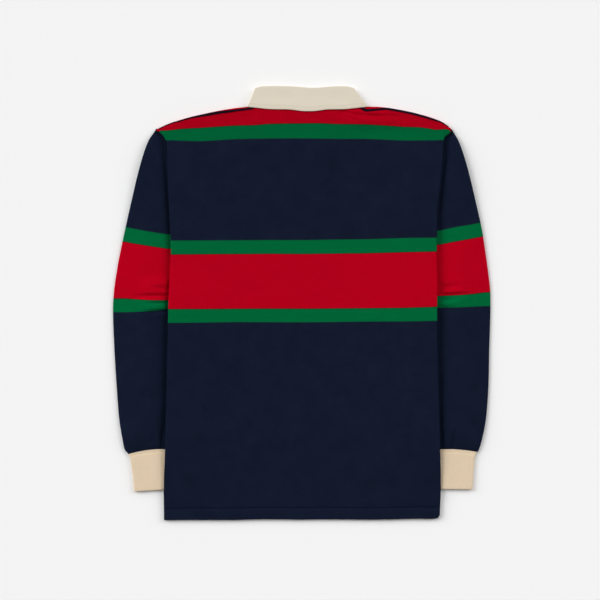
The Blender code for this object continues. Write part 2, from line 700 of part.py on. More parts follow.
def collar_section(station, side):
    """Spots from the neck seam up the stand, round the fold and down the fall to its free edge."""
    turn = math.radians(station.turn)
    neck_x = NECK_X + side * station.neck_x
    seam = back_neck_y(neck_x) if turn > 0 else front_neck_y(neck_x)
    neck_y = mix(NECK_SIDE_Y, seam, abs(station.turn) / 90) + SEAM_GAP / 2
    neck = Vector((neck_x - side * COLLAR_SIDE_GAP * ramp(station.neck_x, 40, 80), neck_y))
    fold = Vector((FOLD_CENTRE_X + side * station.fold_x, station.fold_y))
    edge = Vector((EDGE_CENTRE_X + side * station.edge_x, station.edge_y))
    radial = Vector((side * math.cos(turn), 0.0, math.sin(turn)))
    half = (FALL_RADIUS - STAND_RADIUS) / 2
    middle = STAND_RADIUS + half
    spots = []

    def add(start, along, angle):
        way = (fold - start).normalized()
        plan = start + way * along
        radius = middle - half * math.cos(angle)
        place = Vector((plan.x, plan.y, COLLAR_AXIS_Z)) + radial * radius
        out = Vector((way.x, way.y, 0.0)) * math.sin(angle) - radial * math.cos(angle)
        spots.append((tuple(place), tuple(out)))

    stand = (fold - neck).length
    fall = (fold - edge).length
    for step in range(COLLAR_FLAT_STEPS):
        add(neck, (stand - half) * step / COLLAR_FLAT_STEPS, 0.0)
    for step in range(COLLAR_TURN_STEPS + 1):
        angle = math.pi * step / COLLAR_TURN_STEPS
        start, length = (neck, stand) if angle < math.pi / 2 else (edge, fall)
        add(start, length - half * (1 - math.sin(angle)), angle)
    for step in range(COLLAR_FLAT_STEPS - 1, -1, -1):
        add(edge, (fall - half) * step / COLLAR_FLAT_STEPS, math.pi)
    return spots


def make_collar(material):
    """The collar: one doubled piece that stands up from the neck seam and falls back over it."""
    grid = [collar_section(station, side) for station, side in collar_stations()]
    return cloth("collar", grid, TWILL, material)


def make_tape(side, name, material):
    """The tape along a shoulder seam, from the collar to the shoulder's outer end."""
    start = EDGE_CENTRE_X + side * (103.0 + FALL_RADIUS + TAPE_CLEAR_OF_COLLAR)
    columns = shoulder_xs(side, front_end(side, 1.0))[1:]
    beyond = [x for x in columns if side * (x - start) > 3]
    grid = []
    for x in beyond + [start]:
        depth = shoulder_seam_depth(x)
        row = []
        for across in (-0.5, -0.25, 0.0, 0.25, 0.5):
            at = max(0.15, depth - across * TAPE_WIDTH)
            row.append(shoulder_spot(x, at, raised=SEAM_GAP + TAPE))
        grid.append(row)
    if side < 0:
        grid = [row[::-1] for row in grid]
    return cloth(name, grid, TAPE, material)


def make_placket(name, low, material):
    """One of the placket's two strips, which close the slit of the front."""
    steps = 6
    grid = []
    for step in range(steps + 1):
        row = []
        for across in (0.5, 0.25, 0.0, -0.25, -0.5):
            x = NECK_X + across * PLACKET_WIDTH
            y = mix(PLACKET_BOTTOM_Y + SEAM_GAP, front_neck_y(x), step / steps)
            row.append(((x, y, low), DOWN))
        grid.append(row)
    return cloth(name, grid, PLACKET_CLOTH, material)


def make_button(number, material):
    """A round rubber button with a bevelled rim, face down on the surface."""
    mesh = bpy.data.meshes.new(f"button_{number}")
    made = bmesh.new()
    size = {"radius1": BUTTON_RADIUS * MM, "radius2": BUTTON_RADIUS * MM, "depth": BUTTON_HEIGHT * MM}
    bmesh.ops.create_cone(made, cap_ends=True, segments=20, **size)
    made.to_mesh(mesh)
    made.free()
    mesh.materials.append(material)
    obj = bpy.data.objects.new(mesh.name, mesh)
    bpy.context.scene.collection.objects.link(obj)
    y = FIRST_BUTTON_Y - (number - 1) * BUTTON_SPACING
    obj.location = (NECK_X * MM, y * MM, BUTTON_HEIGHT / 2 * MM)
    rim = obj.modifiers.new("rim", "BEVEL")
    rim.width = 0.5 * MM
    rim.segments = 1
    rim.limit_method = "ANGLE"
    return obj


def make_shirt():
    body_jersey = striped_cloth("striped_jersey", BODY_STRIPES)
    sleeve_jersey = striped_cloth("striped_sleeve_jersey", SLEEVE_STRIPES)
    collar_twill = plain_cloth("collar_twill", COLLAR_CREAM)
    cuff_rib = plain_cloth("cuff_rib", CUFF_CREAM)
    navy_tape = plain_cloth("navy_tape", NAVY)
    rubber = plain_cloth("button_rubber", RUBBER, roughness=0.5)
    make_back(body_jersey)
    make_front(body_jersey)
    for side, word in ((-1, "left"), (1, "right")):
        make_sleeve(side, f"sleeve_{word}", sleeve_jersey)
        make_cuff(side, f"cuff_{word}", cuff_rib)
        make_tape(side, f"shoulder_tape_{word}", navy_tape)
    make_collar(collar_twill)
    make_placket("placket", BUTTON_HEIGHT + SEAM_GAP, collar_twill)
    make_placket("placket_under", BUTTON_HEIGHT + PLACKET_CLOTH + 2 * SEAM_GAP, collar_twill)
    for number in range(1, BUTTON_COUNT + 1):
        make_button(number, rubber)


for old in list(bpy.data.objects):
    bpy.data.objects.remove(old)
make_shirt()
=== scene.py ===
"""A long-sleeved rugby shirt, laid flat on its front with its back uppermost.

Each piece of cloth is a thin closed shell on the form of its solid in the frame, built from
sections and finished with its seams, stitches and creases. Lengths are in millimetres until a mesh
is made. Side -1 is the left as seen from above, which is also the wearer's, and 1 is the right.
"""

import math
from collections import namedtuple

import bmesh
import bpy
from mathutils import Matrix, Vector


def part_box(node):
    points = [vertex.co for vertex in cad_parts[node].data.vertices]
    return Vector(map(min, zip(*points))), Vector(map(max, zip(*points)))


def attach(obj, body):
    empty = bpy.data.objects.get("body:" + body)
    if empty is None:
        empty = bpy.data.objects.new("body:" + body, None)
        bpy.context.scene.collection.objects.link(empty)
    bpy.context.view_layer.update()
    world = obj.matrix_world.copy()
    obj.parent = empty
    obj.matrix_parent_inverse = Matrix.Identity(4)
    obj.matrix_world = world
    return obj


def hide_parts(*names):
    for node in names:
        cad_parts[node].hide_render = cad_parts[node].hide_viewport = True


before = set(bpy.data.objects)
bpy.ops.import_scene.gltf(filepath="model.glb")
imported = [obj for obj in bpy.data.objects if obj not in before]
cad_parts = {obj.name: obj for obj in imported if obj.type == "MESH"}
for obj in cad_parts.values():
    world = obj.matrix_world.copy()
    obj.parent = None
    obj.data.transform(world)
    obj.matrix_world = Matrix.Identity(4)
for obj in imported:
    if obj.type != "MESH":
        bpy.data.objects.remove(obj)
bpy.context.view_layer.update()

bl_info = {
    "name": "Rugby Shirt",
    "version": (1, 0, 0),
    "blender": (4, 5, 0),
    "location": "3D View > Sidebar > Shirt",
    "description": "Makes a striped cotton rugby shirt, laid flat with its back uppermost",
    "category": "Add Mesh",
}

MM = 0.001
SIDES = {-1: "left", 1: "right"}
UP = (0.0, 0.0, 1.0)
DOWN = (0.0, 0.0, -1.0)
TOWARDS_HEM = (0.0, -1.0, 0.0)
Spot = namedtuple("Spot", "place out knit")


def table(columns, rows):
    """The rows of a table, each with its columns named."""
    row = namedtuple("Row", columns)
    return [row(*values) for values in rows]


# The form, as the frame's solids have it
SEAM_GAP = 0.35
PLY_GAP = 0.08  # between the two plies of a hem or a cuff
HEM_Y = -385.5
HEM_DEPTH = 20.4
HEM_GROOVE, HEM_PUCKER = 0.95, 0.16  # how far the hem's stitching draws the cloth in
HEM_LINE = table("x y", [
    (-246, -386.4), (-225, -386.1), (-189, -385.9), (-118, -386), (-91, -385.1), (-70, -384.8),
    (-29, -384.9), (-2, -385.4), (25, -384.9), (78, -385), (123, -385.4), (150, -385),
    (176, -384.4), (203, -383.7), (230, -384.1), (238, -383.8), (243, -382.2), (246, -379.2),
    (247.6, -376.1),
])
TIP_Y = {-1: 309.2, 1: 307.2}  # where each shoulder ends
BODY_SPAN = TIP_Y[-1] - HEM_Y
BODY_SIDES = table("y left right", [
    (-385.5, -245.6, 246.2), (-332, -245.8, 248), (-261, -243.2, 246.8), (-172, -240.3, 244.6),
    (-83, -238.6, 242.2), (0, -237.2, 241.2), (30, -235.6, 242), (95, -232.8, 240.8),
    (166, -236, 243), (237, -238.8, 250), (284, -240.2, 253.4), (293, -243.2, 253.9),
    (297, -245.4, 255.4), (301, -248.8, 260.6), (305, -253.6, 265.2), (310, -261, 270.8),
])
SHOULDERS = table("x outline seam_depth", [
    (-260.5, 310, 0.7), (-236, 321, 2.2), (-202, 331.8, 3.4), (-156, 342.4, 4.4),
    (-127, 347.6, 5.4), (-97, 351, 3.6), (-79, 352, 1.2), (97, 352, 1.2), (118, 351.2, 5.6),
    (140, 350.8, 5.6), (165, 347.6, 4), (213, 337, 3.4), (245, 326.4, 3), (261, 316.2, 2),
    (270.8, 307.9, 0.6),
])
NECK_X = 9.0
NECK_HALF = 88.0
NECK_SIDE_Y = 351.0
BACK_NECK_DROP = 3.4
FRONT_NECK_DROP = 87.0
FRONT_NECK_POWER = 2.2
UNDERARM_Y = 18.0
UNDERARM_RISE = 45.0
UNDERARM_SEWN = (UNDERARM_Y + UNDERARM_RISE, UNDERARM_Y + 4)  # armhole above, side seam below

# Heights of the cloth's upper faces above the surface the shirt lies on
SLEEVE_TOP = 3.1
SLEEVE_CROWN = 1.6
SIDE_TOP = 13.2
MIDDLE_TOP = 7.5
HEM_TOP = 5.5
ARMHOLE_TOP = 11.8
TIP_TOP = 8.6
NECK_TOP = 6.0
PLACKET_TOP = 7.9
CUFF_TOP = 5.4
# Where one height gives way to another: the y at which the change starts and ends
HEM_TO_SIDE = (HEM_Y - 10, -215)
SIDE_TO_ARMHOLE = (UNDERARM_Y, UNDERARM_Y + 50)
ARMHOLE_TO_TIP = (255, 308)
MIDDLE_TO_HEM = (HEM_Y + 150, HEM_Y + HEM_DEPTH + 4)
MIDDLE_TO_NECK = (200, 290)
PLACKET_TO_NECK = (310, 276)
SIDE_SLOPE = 150.0  # how far in from the sleeves the body's sides slope down to its middle
PART_SLOPE = 60.0  # how far the back slopes down beyond the collar's leaves and the placket
NECK_PUFF = 2.2  # fuller cloth at the right of the collar, between these heights and widths
PUFF_BELOW, PUFF_ABOVE, PUFF_LEFT, PUFF_RIGHT = (347, 338), (306, 326), (66, 96), (220, 150)

# Heights of the front's lower face, where a part lies under it
LIFT = 4.6
NECK_LIFT = 2.05
UNDER_SLOPE = 34.0
COLLAR_LEAVES = (112.0, 232.0)  # half their width, and where they end
PLACKET_WIDTH = 32.0
PLACKET_BOTTOM_Y = 105.0
PLACKET_AREA = (PLACKET_WIDTH / 2, PLACKET_BOTTOM_Y)
SLIT_HALF = PLACKET_WIDTH / 2 + SEAM_GAP
PLACKET_LOW = {"placket": 2.05, "placket_under": 3.6}

# The body's turned edges
EDGE_SEAM = 0.5
EDGE_PRESSED = 0.5  # how far a side's edge reaches out, as a share of its height
EDGE_STRETCH = 0.78  # how far the knit runs round that edge, as a share of the round one's
EDGE_INNER = 6.0  # how far inside the edge its thickness is taken
ARMHOLE_INSET = 2.1
ARMHOLE_TURN = math.radians(120)
SIDE_TURN = math.radians(180)

# The sleeves and cuffs
MOUTH_LAP, TIP_LAP = 1.5, 5.0  # how far a sleeve's upper ply goes under the body
OUTER_FOLD = 2.4  # radius of a sleeve's outer fold
OUTER_RUN, INNER_RUN = 5.2, 5.5  # how far the knit runs on past a sleeve's outer and inner edge
INNER_FOLD = 1.75  # radius that the knit has round the inner fold
SLEEVE_SEAM = 4.6  # from a sleeve's lower end to its stitching
SLEEVE_DRAWN_IN, SLEEVE_DRAWN_WIDTH = 0.45, 1.4
SLEEVE_OUTLINE = table("y left right", [
    (-268, -309.6, 312), (-261, -315.6, 316.3), (-243, -319.6, 321.8), (-208, -325.4, 328.8),
    (-154, -329.8, 333.2), (-83, -334.2, 335), (-12, -336.8, 337), (24, -334.8, 336.6),
    (50, -331.2, 333.8), (77, -326.6, 330.2), (130, -315.6, 322.2), (184, -303.4, 310.2),
    (237, -290.7, 297.4), (273, -280, 286.5), (291, -272.8, 279.4), (307, -262.6, 270.6),
    (311.5, -259.4, 268.4),
])
# How the sleeves rise beside the body: where the rise starts, its width and its height
SLEEVE_ROLL = table("y left_start left_width left_height start width height", [
    (-213, 3.5, 16, 4.8, 3, 12, 3.8),
    (-110, 2.5, 27, 5.4, 5, 30, 4.4),
    (0, 2.5, 22, 4.6, 8, 42, 4.1),
    (80, 2.5, 19, 4.2, 9, 46, 4.2),
    (158, 1.5, 12, 3.8, 4, 20, 4),
    (210, 3, 14, 4.4, 3.5, 15, 4),
    (285, 8, 13, 4.6, 6, 17, 4.4),
])
SLEEVE_SECTIONS = table("y rise_left rise_right tuck", [
    (-264, -5, -0.9, 30), (-200, -2.5, 0.5, 33), (-100, 0, 2, 40), (-30, 2, 4, 42), (6, 4, 6, 20),
    (18, 5, 7, 8), (60, 8, 11, 0), (122, 12, 16, 0), (240, 12, 14, 0), (303, 4, 4, 0),
])
CUFF_SEAM_Y = -264.0
# The sleeves' swell, between these heights and these distances beside the body
ROLL_ENDS, CROWN_ENDS = (312, 296), (310, 280)
CROWN_INSIDE, CROWN_OUTSIDE = (2, 38), (105, 38)
CROWN_AT_CUFF = (CUFF_SEAM_Y - 2, CUFF_SEAM_Y + 34)
UNDERARM_PUFF, UNDERARM_PUFF_Y = {-1: 3.2, 1: 0.6}, 10
UNDERARM_PUFF_ENDS, UNDERARM_PUFF_INSIDE, UNDERARM_PUFF_OUTSIDE = (44, 18), (0.5, 6), (66, 26)
CUFF_SEAM_BOW = {-1: 6.6, 1: 4.7}
CUFFS = table("drop left right tuck", [
    (0, -309.6, 313.4, 28), (5, -306.6, 310.6, 27.5), (14, -304.8, 308.4, 27),
    (31, -302.4, 307, 26), (49, -300.4, 306, 25), (66.5, -298.6, 304.8, 25),
])
CUFF_DROP = CUFFS[-1].drop
CUFF_END_Y = CUFF_SEAM_Y - CUFF_DROP
ON_CUFF = (CUFF_END_Y - 28, CUFF_END_Y - 5)  # where the body comes up to lie on the cuffs
CUFF_SEAM_DIP = 0.8
CUFF_TILT = {-1: -4.6, 1: -1.0}
CUFF_ROLL, CUFF_ROLL_WIDTH = 1.4, 16.0
CUFF_AROUND = 186.0
CUFF_SEWN = (3.5, 3.9)  # where the cuff's cloth is drawn in, and where its stitches lie
CUFF_DRAWN_IN, CUFF_STITCHES_IN = 0.42, 0.4
SPOTS_A_RIB = 5
RIB_DEPTH = 0.16

# The collar: half of it, from the middle of the back round to the front
COLLAR_AXIS_Z = 4.0
COLLAR_SIDE_GAP = 0.6
FALL_RADIUS = 4.0
STAND_RADIUS = 0.25
FOLD_CENTRE_X, EDGE_CENTRE_X = 5.0, 10.0
# A section's spots at the fold, at the start of the fall and where its edge is sewn
FOLD_COLUMN, FALL_COLUMN, SEWN_COLUMN = 17, 24, -7
COLLAR_HALF = table("neck_x fold_x fold_y edge_x edge_y turn parts", [
    (0, 0, 387.5, 0, 346.2, 90, 12),
    (32, 32, 387.6, 33, 346.2, 90, 8),
    (54, 56, 387.7, 66, 346.6, 90, 6),
    (74, 76, 387, 92, 349.2, 90, 5),
    (84, 83.6, 385, 103, 350.4, 90, 8),
    (86, 84, 383.6, 103.4, 351.4, 0, 8),
    (85, 83, 378, 104, 349, -90, 5),
    (80, 74, 362, 107, 325, -90, 5),
    (70, 58, 340, 106, 298, -90, 5),
    (52, 38, 315, 98, 274, -90, 5),
    (32, 20, 300, 82, 254, -90, 6),
    (5, 5, 292, 58, 240, -90, 1),
])

TAPE_HEIGHT = 0.95
TAPE_SEWN = 0.32  # from a tape's middle to its stitches, as a share of its width
# The middle of each shoulder tape, and how much of its width shows
TAPES = {
    -1: table("x y width", [
        (-255, 310.9, 1.4), (-233, 320.6, 1.8), (-216, 325.4, 2.2), (-198, 330.8, 2.5),
        (-180, 334.5, 3.4), (-162, 337.7, 4.5), (-145, 340.7, 4.4), (-127, 342.9, 4),
        (-109, 345.5, 3.6), (-86, 348.2, 3.2),
    ]),
    1: table("x y width", [
        (99, 350.6, 3), (105, 349.4, 3.6), (109, 346.8, 4.8), (113.5, 344.8, 5), (118, 344.4, 4.4),
        (124, 344.9, 4), (132, 345.6, 3.8), (144, 346.8, 3.6), (151, 347, 3.6), (158, 346.1, 3.8),
        (176, 342.9, 3.9), (194, 339.3, 3.9), (212, 334.5, 3.8), (230, 329.1, 3.2),
        (248, 323.1, 2.4), (262, 314.6, 1.4),
    ]),
}

# The placket's sewing and the buttons
STRIP_SEWN = 0.42  # from the middle of a strip to its stitching, as a share of its width
BOX_LOW, BOX_HIGH, STRIP_HIGH = 0.012, 0.15, 0.995  # shares of the strip's height
PLACKET_WALL = 1.05
BUTTONS = (1, 2, 3)
BUTTON_PITCH, BUTTON_Y = 27.0, 196.0
BUTTONHOLE = (1.5, 10.5)  # half its width and height
BUTTON_SPOTS = 48
THREAD_Z = 0.36
# A button's outline, from the edge of its flat face, which is down, to that of its back
BUTTON_PROFILE = (
    (3.0, 0.42), (3.9, 0.4), (4.5, 0.24), (5.0, 0.06), (5.6, 0.0), (6.5, 0.0), (7.0, 0.08),
    (7.35, 0.32), (7.5, 0.7), (7.5, 1.1), (7.3, 1.45), (6.9, 1.65), (6.2, 1.7),
)

# The knitted bands: the height of each band's edges across the body, and down each sleeve. The
# lines after each table are the distances along the knitting at which the yarn changes.
BODY_BANDS = table("x band_low red_low red_high band_high yoke_low yoke_red", [
    (-258, -33.9, -9.2, 87.3, 112.3, 291.8, 305.2),
    (-254.5, -33.9, -9.2, 87.3, 112.3, 291.8, 307),
    (-251, -33.9, -9.2, 87.3, 112.3, 291.8, 308.4),
    (-240, -33.8, -9.1, 87.4, 112.4, 291.5, 308.6),
    (-212, -33.6, -9, 87.6, 112.4, 290.5, 311.8),
    (-180, -33.3, -8.9, 87.9, 112.5, 289.8, 313.6),
    (-120, -32.5, -8.7, 88.4, 112.9, 293.4, 317.7),
    (-84, -32.5, -8.5, 88.6, 113.2, 294.4, 318.6),
    (-60, -32.6, -8.4, 88.8, 113.4, 294.8, 320.7),
    (0, -32.8, -8.5, 88.5, 113.4, 294.8, 321.8),
    (28, -32.6, -8.4, 88.8, 113.8, 294.5, 322.1),
    (60, -32.2, -8.1, 89.2, 114.3, 294.1, 320.8),
    (120, -31.4, -7.6, 89.9, 114.9, 293.8, 319.4),
    (180, -31.1, -7, 91.5, 116.8, 291, 315.5),
    (208, -30.7, -6.2, 92.1, 117.2, 290.9, 314.5),
    (225, -30.3, -5.6, 92.5, 117.4, 291.1, 312.4),
    (240, -30, -5.1, 92.8, 117.6, 291.4, 310),
    (253, -29.6, -4.9, 93, 117.8, 292.2, 311),
    (260, -29.4, -4.8, 93.1, 117.9, 292.4, 310.4),
    (264, -29.3, -4.7, 93.2, 118, 292.5, 308.8),
    (268, -29.2, -4.6, 93.3, 118.1, 292.5, 306.4),
])
BODY_BAND_LINES = (-33.0, -9.0, 89.0, 114.0, 293.0, 318.0)
SLEEVE_BANDS = {
    -1: table("x band_low red_low red_high band_high", [
        (-315, -14.9, 9.9, 110.4, 137), (-305, -14.6, 9.1, 108.3, 134.9),
        (-294, -14.1, 8.3, 106.4, 132.8), (-280, -13.4, 7.3, 104.2, 130.1),
        (-266, -12.6, 6.6, 101.9, 127.7), (-252, -11.3, 6.4, 99.8, 125.5),
        (-240, -10, 6.4, 98.1, 123.6),
    ]),
    1: table("x band_low red_low red_high band_high", [
        (247, -6.9, 14, 105.3, 130.5), (258, -6.7, 14.7, 107.7, 133),
        (273, -6.4, 15.4, 110.5, 136.1), (291, -5.7, 16.5, 113.7, 139.2),
        (309, -4.9, 18.3, 117.2, 142.4), (327, -4, 20.8, 120.7, 146.3),
    ]),
}
SLEEVE_BAND_LINES = (-11.0, 9.0, 104.0, 130.0)
IN_GREEN, IN_RED = 0.65, 0.25  # how far the dark line where red meets green reaches into each: loops of both yarns interlock there, with painted shade between them

# Creases: soft troughs with a start, an end, half a width and a depth. A ridge has a depth below 0.
SOFT_SIDE = 1.7  # how much wider a trough is on the side nearer the hem
FOLD_START, FOLD_END = (0, 0.3), (1, 0.55)  # shares of its length over which a crease fades
FOLD = "x0 y0 x1 y1 half_width depth"
BACK_FOLDS = table(FOLD, [
    (56, 348.6, 124, 328.4, 2.2, 1.6),
    (82, 341.2, 152, 331.2, 2.4, 1.3),
    (108, 335.4, 200, 333, 3.4, 0.9),
    (60, 344, 112, 320, 2.8, 1.2),
    (112, 342, 150, 339, 3, -0.4),
    (-70, 346, -118, 322, 7, 0.3),
    (-225, 302, -170, 318, 6, 0.3),
    (218, 300, 160, 312, 7, 0.3),
    (-228, 262, -60, 240, 24, 0.35),
    (50, 205, 232, 236, 20, 0.35),
    (-190, 150, -20, 168, 26, -0.3),
    (-212, 40, -70, 22, 18, 0.3),
    (96, 36, 226, 10, 16, 0.35),
    (-120, -60, 60, -84, 30, -0.3),
    (90, -70, 220, -104, 24, 0.35),
    (-214, -120, -70, -152, 22, 0.35),
    (-30, -190, 150, -222, 32, -0.35),
    (-180, -262, 20, -290, 26, 0.35),
    (130, -330, 215, -262, 14, 0.3),
])
FRONT_FOLDS = table(FOLD, [
    (-150, 205, -60, 120, 13, 0.7),
    (168, 214, 70, 132, 11, 0.75),
    (-175, 95, -40, 60, 16, 0.6),
    (44, 72, 190, 40, 14, 0.7),
    (-150, -20, 40, -60, 20, 0.6),
    (60, -96, 180, -150, 13, 0.75),
    (-160, -130, -20, -190, 18, 0.65),
    (-60, -262, 120, -240, 22, 0.6),
    (-170, -300, -40, -318, 15, 0.55),
])
SLEEVE_FOLDS = {
    -1: table(FOLD, [
        (-212, 24.4, -275, 30.8, 3.8, 1.9),
        (-208, 14.6, -314, 12.8, 3.6, 2.8),
        (-212, 2.4, -290, -0.8, 2.8, 2.4),
        (-212, -10.4, -292, -16.4, 3.3, 3.3),
        (-228, 11.2, -294, 9.4, 2.4, -0.7),
        (-228, -1, -292, -4, 2.8, -0.8),
        (-246.2, -218, -244.8, -284, 2.6, 4.6),
        (-262, -226, -266, -262, 3, 1),
        (-288, -236, -286, -258, 2.6, 0.5),
        (-255, -70, -318, -118, 12, 0.45),
        (-262, 190, -300, 140, 11, 0.4),
        (-250, -160, -300, -190, 13, 0.4),
    ]),
    1: table(FOLD, [
        (214, 27, 300, 33.4, 4.4, 1.7),
        (213, 12.7, 312, 18.6, 3.4, 3.3),
        (216, 3, 292, 10, 3, 2.6),
        (216, -7.2, 286, -8.6, 3.4, 2.2),
        (232, 0.6, 290, 3.6, 3, -0.8),
        (247.6, -222, 243, -284, 2.4, 4.6),
        (256.6, -240, 256, -262, 3, -0.5),
        (273, -222, 267, -284, 2.8, 2.6),
        (296, -234, 297, -258, 2.4, 0.5),
        (258, -84, 320, -120, 12, 0.45),
        (264, 196, 304, 150, 11, 0.4),
        (256, -150, 312, -186, 13, 0.4),
    ]),
}
SLEEVE_UNDER_FOLDS = {
    -1: table(FOLD, [
        (-240, 2, -296, 14, 5, 0.6),
        (-244, -18, -304, -30, 6, 0.5),
        (-232, -96, -314, -140, 11, 0.5),
        (-250, 150, -300, 110, 10, 0.5),
    ]),
    1: table(FOLD, [
        (244, 6, 302, 18, 5, 0.6),
        (246, -14, 306, -28, 6, 0.5),
        (234, -120, 316, -90, 11, 0.5),
        (256, 160, 306, 118, 10, 0.5),
    ]),
}

# How finely each piece is divided
SIDE_COLUMNS = 44
BACK_NECK_COLUMNS = 44
FRONT_NECK_COLUMNS = 22
TURN_STEPS = 10
PLY_STEPS = 6
BODY_STEP = 4.2
SLEEVE_STEP = 3.0
UNDERARM_STEP = 1.3
FINE_ABOVE, FINE_BELOW = 28, 42  # how far from the underarm its sections lie closer
UPPER_STEPS, LOWER_STEPS, FOLD_STEPS = 62, 24, 8  # round a sleeve
TAPE_STEP = 2.5
PLACKET_ROWS = 48
# Distances above the hem, heights near the shoulder's tip, and distances from the cuff's seam
NEAR_HEM = (1.4, 4.0, 8.0, 12.0, 15.5, 18.0, 20.0, 21.0, 21.6, 22.0, 22.4, 23.0, 24.0, 26.0)
NEAR_TIP = (306.3, 305, 303, 301, 298.5, 296, 293, 290, 286, 282)
NEAR_CUFF_SEAM = (0.0, 0.5, 1.2, 2.2, 3.5, 5.5)

# The black thread of the tapes takes the tape's colour, with its painted shade and reflection
THREADS = {"navy": "#10151F", "black": "#150D1C", "cream": "#D8CDB4"}
ZIGZAG_STITCH, ZIGZAG_GAP = 1.3, 0.1

# Each light's share of the strength, the direction it comes from round the shirt, and elevation
STUDIO_LIGHTS = (
    ("left_light", 1.15, 155.0, 27.0),
    ("right_light", 0.7, 25.0, 27.0),
    ("top_light", 0.3, 90.0, 35.0),
)
CAMERA_PLACE = (-2.9 * MM, 6.35 * MM)


def linear(hex_colour):
    """An sRGB hex colour as the linear red, green and blue that shaders work in."""
    channels = [int(hex_colour[at : at + 2], 16) / 255 for at in (1, 3, 5)]
    return tuple(c / 12.92 if c <= 0.04045 else ((c + 0.055) / 1.055) ** 2.4 for c in channels)


def colour(name, description, hex_colour):
    settings = {"subtype": "COLOR", "size": 3, "min": 0.0, "max": 1.0}
    return bpy.props.FloatVectorProperty(
        name=name, description=description, default=linear(hex_colour), **settings
    )


def length(name, description, millimetres):
    settings = {"subtype": "DISTANCE", "unit": "LENGTH", "min": 0.0, "precision": 5}
    return bpy.props.FloatProperty(
        name=name, description=description, default=millimetres * MM, **settings
    )


def strength(name, description, amount):
    return bpy.props.FloatProperty(name=name, description=description, default=amount, min=0.0)


class ShirtCloth(bpy.types.PropertyGroup):
    """The cloths' colours, thicknesses and knit."""

    navy: colour("Navy", "Navy yarn of the body and sleeves", "#141B2D")
    red: colour("Red", "Red yarn of the wide bands", "#B4001B")
    green: colour("Green", "Green yarn of the narrow bands", "#006537")
    # The shoulders' red and green are darker copies of the chest's: painted shade across the
    # shoulders
    shoulder_red: colour("Shoulder red", "Red yarn across the shoulders", "#A90018")
    shoulder_green: colour("Shoulder green", "Green yarn across the shoulders", "#005E34")
    # A near-black line where red meets green: loops of both yarns interlock there, and the shade
    # between them is painted into this colour
    change: colour("Yarn change", "Interlocked loops where red meets green", "#1C100B")
    collar: colour("Collar", "Cotton twill of the collar and placket", "#DFD5C3")
    cuff: colour("Cuffs", "Rib knit of the cuffs", "#E1CCB0")
    # Darker and redder than navy tape: the tape's own navy with painted shade along the seam and a
    # painted reflection of the red cloth beside it
    tape: colour("Tape", "Woven tape along the shoulder seams", "#130C1A")
    jersey: length("Jersey", "Thickness of the jersey", 1.2)
    twill: length("Collar cloth", "Thickness of the collar's two plies", 1.45)
    rib: length("Rib", "Thickness of one ply of a cuff", 0.8)
    tape_wall: length("Tape thickness", "Thickness of the shoulder tape", 0.6)
    wale: length("Wale", "Width of one column of knitted loops", 2.0)
    course: length("Course", "Height of one row of knitted loops", 1.6)
    rib_pitch: length("Rib pitch", "From one rib of a cuff to the next", 2.6)
    twill_line: length("Twill line", "From one line of the twill to the next", 1.8)


class ShirtSewing(bpy.types.PropertyGroup):
    """The seams' threads and stitches."""

    thread: length("Thread", "Thickness of the sewing thread", 0.45)
    stitch: length("Stitch", "Length of one stitch", 2.6)
    stitch_gap: length("Gap", "Between one stitch and the next", 0.7)
    collar_inset: length("Collar stitching", "From the collar's free edge to its stitching", 5.0)


class ShirtButtons(bpy.types.PropertyGroup):
    """The rubber buttons."""

    rubber: colour("Rubber", "Moulded rubber of the buttons", "#E4DCCB")
    hole: length("Hole", "Width of a button's sewing hole", 1.5)
    hole_circle: length("Hole spacing", "Between neighbouring holes", 2.9)


class ShirtStudio(bpy.types.PropertyGroup):
    """The floor, the lights and the camera."""

    floor: colour("Floor", "Painted floor", "#F8F8F8")
    camera_height: length("Camera height", "From the floor to the lens", 2531.0)
    side_light: strength("Side lights", "Strength of the lights on either side", 2.36)
    sky: strength("Sky", "Strength of the light from all round", 0.2)


def in_mm(group, name):
    return getattr(getattr(bpy.context.scene, group), name) / MM


def smooth(share):
    """0 to 1, starting and ending gently."""
    share = min(1.0, max(0.0, share))
    return share * share * (3 - 2 * share)


def ramp(value, start, end):
    """0 before start and 1 after end, either way round."""
    return smooth((value - start) / (end - start))


def mix(low, high, share):
    return low + (high - low) * share


def hill(off, width, power=2):
    """1 in the middle, falling softly to 0 about two widths away."""
    return math.exp(-(abs(off / width) ** power))


def moved(place, way, distance):
    return tuple(at + distance * step for at, step in zip(place, way))


def sunk(spot, depth):
    return spot._replace(place=moved(spot.place, spot.out, -depth))


def through(rows, at, column):
    """A smooth function of the column named at, through the other column's values."""
    places = [getattr(row, at) for row in rows]
    values = [getattr(row, column) for row in rows]
    last = len(rows) - 1
    slopes = []
    for i in range(last + 1):
        before, after = max(i - 1, 0), min(i + 1, last)
        slopes.append((values[after] - values[before]) / (places[after] - places[before]))

    def value(place):
        place = min(max(place, places[0]), places[-1])
        i = next(k for k in range(last) if place <= places[k + 1])
        span = places[i + 1] - places[i]
        t = (place - places[i]) / span
        return (
            (1 + 2 * t) * (1 - t) ** 2 * values[i]
            + t * (1 - t) ** 2 * span * slopes[i]
            + t * t * (3 - 2 * t) * values[i + 1]
            + t * t * (t - 1) * span * slopes[i + 1]
        )

    return value


def by_side(rows, at, left, right):
    return {-1: through(rows, at, left), 1: through(rows, at, right)}


def lines_through(rows, at, fields):
    return [through(rows, at, field) for field in fields]


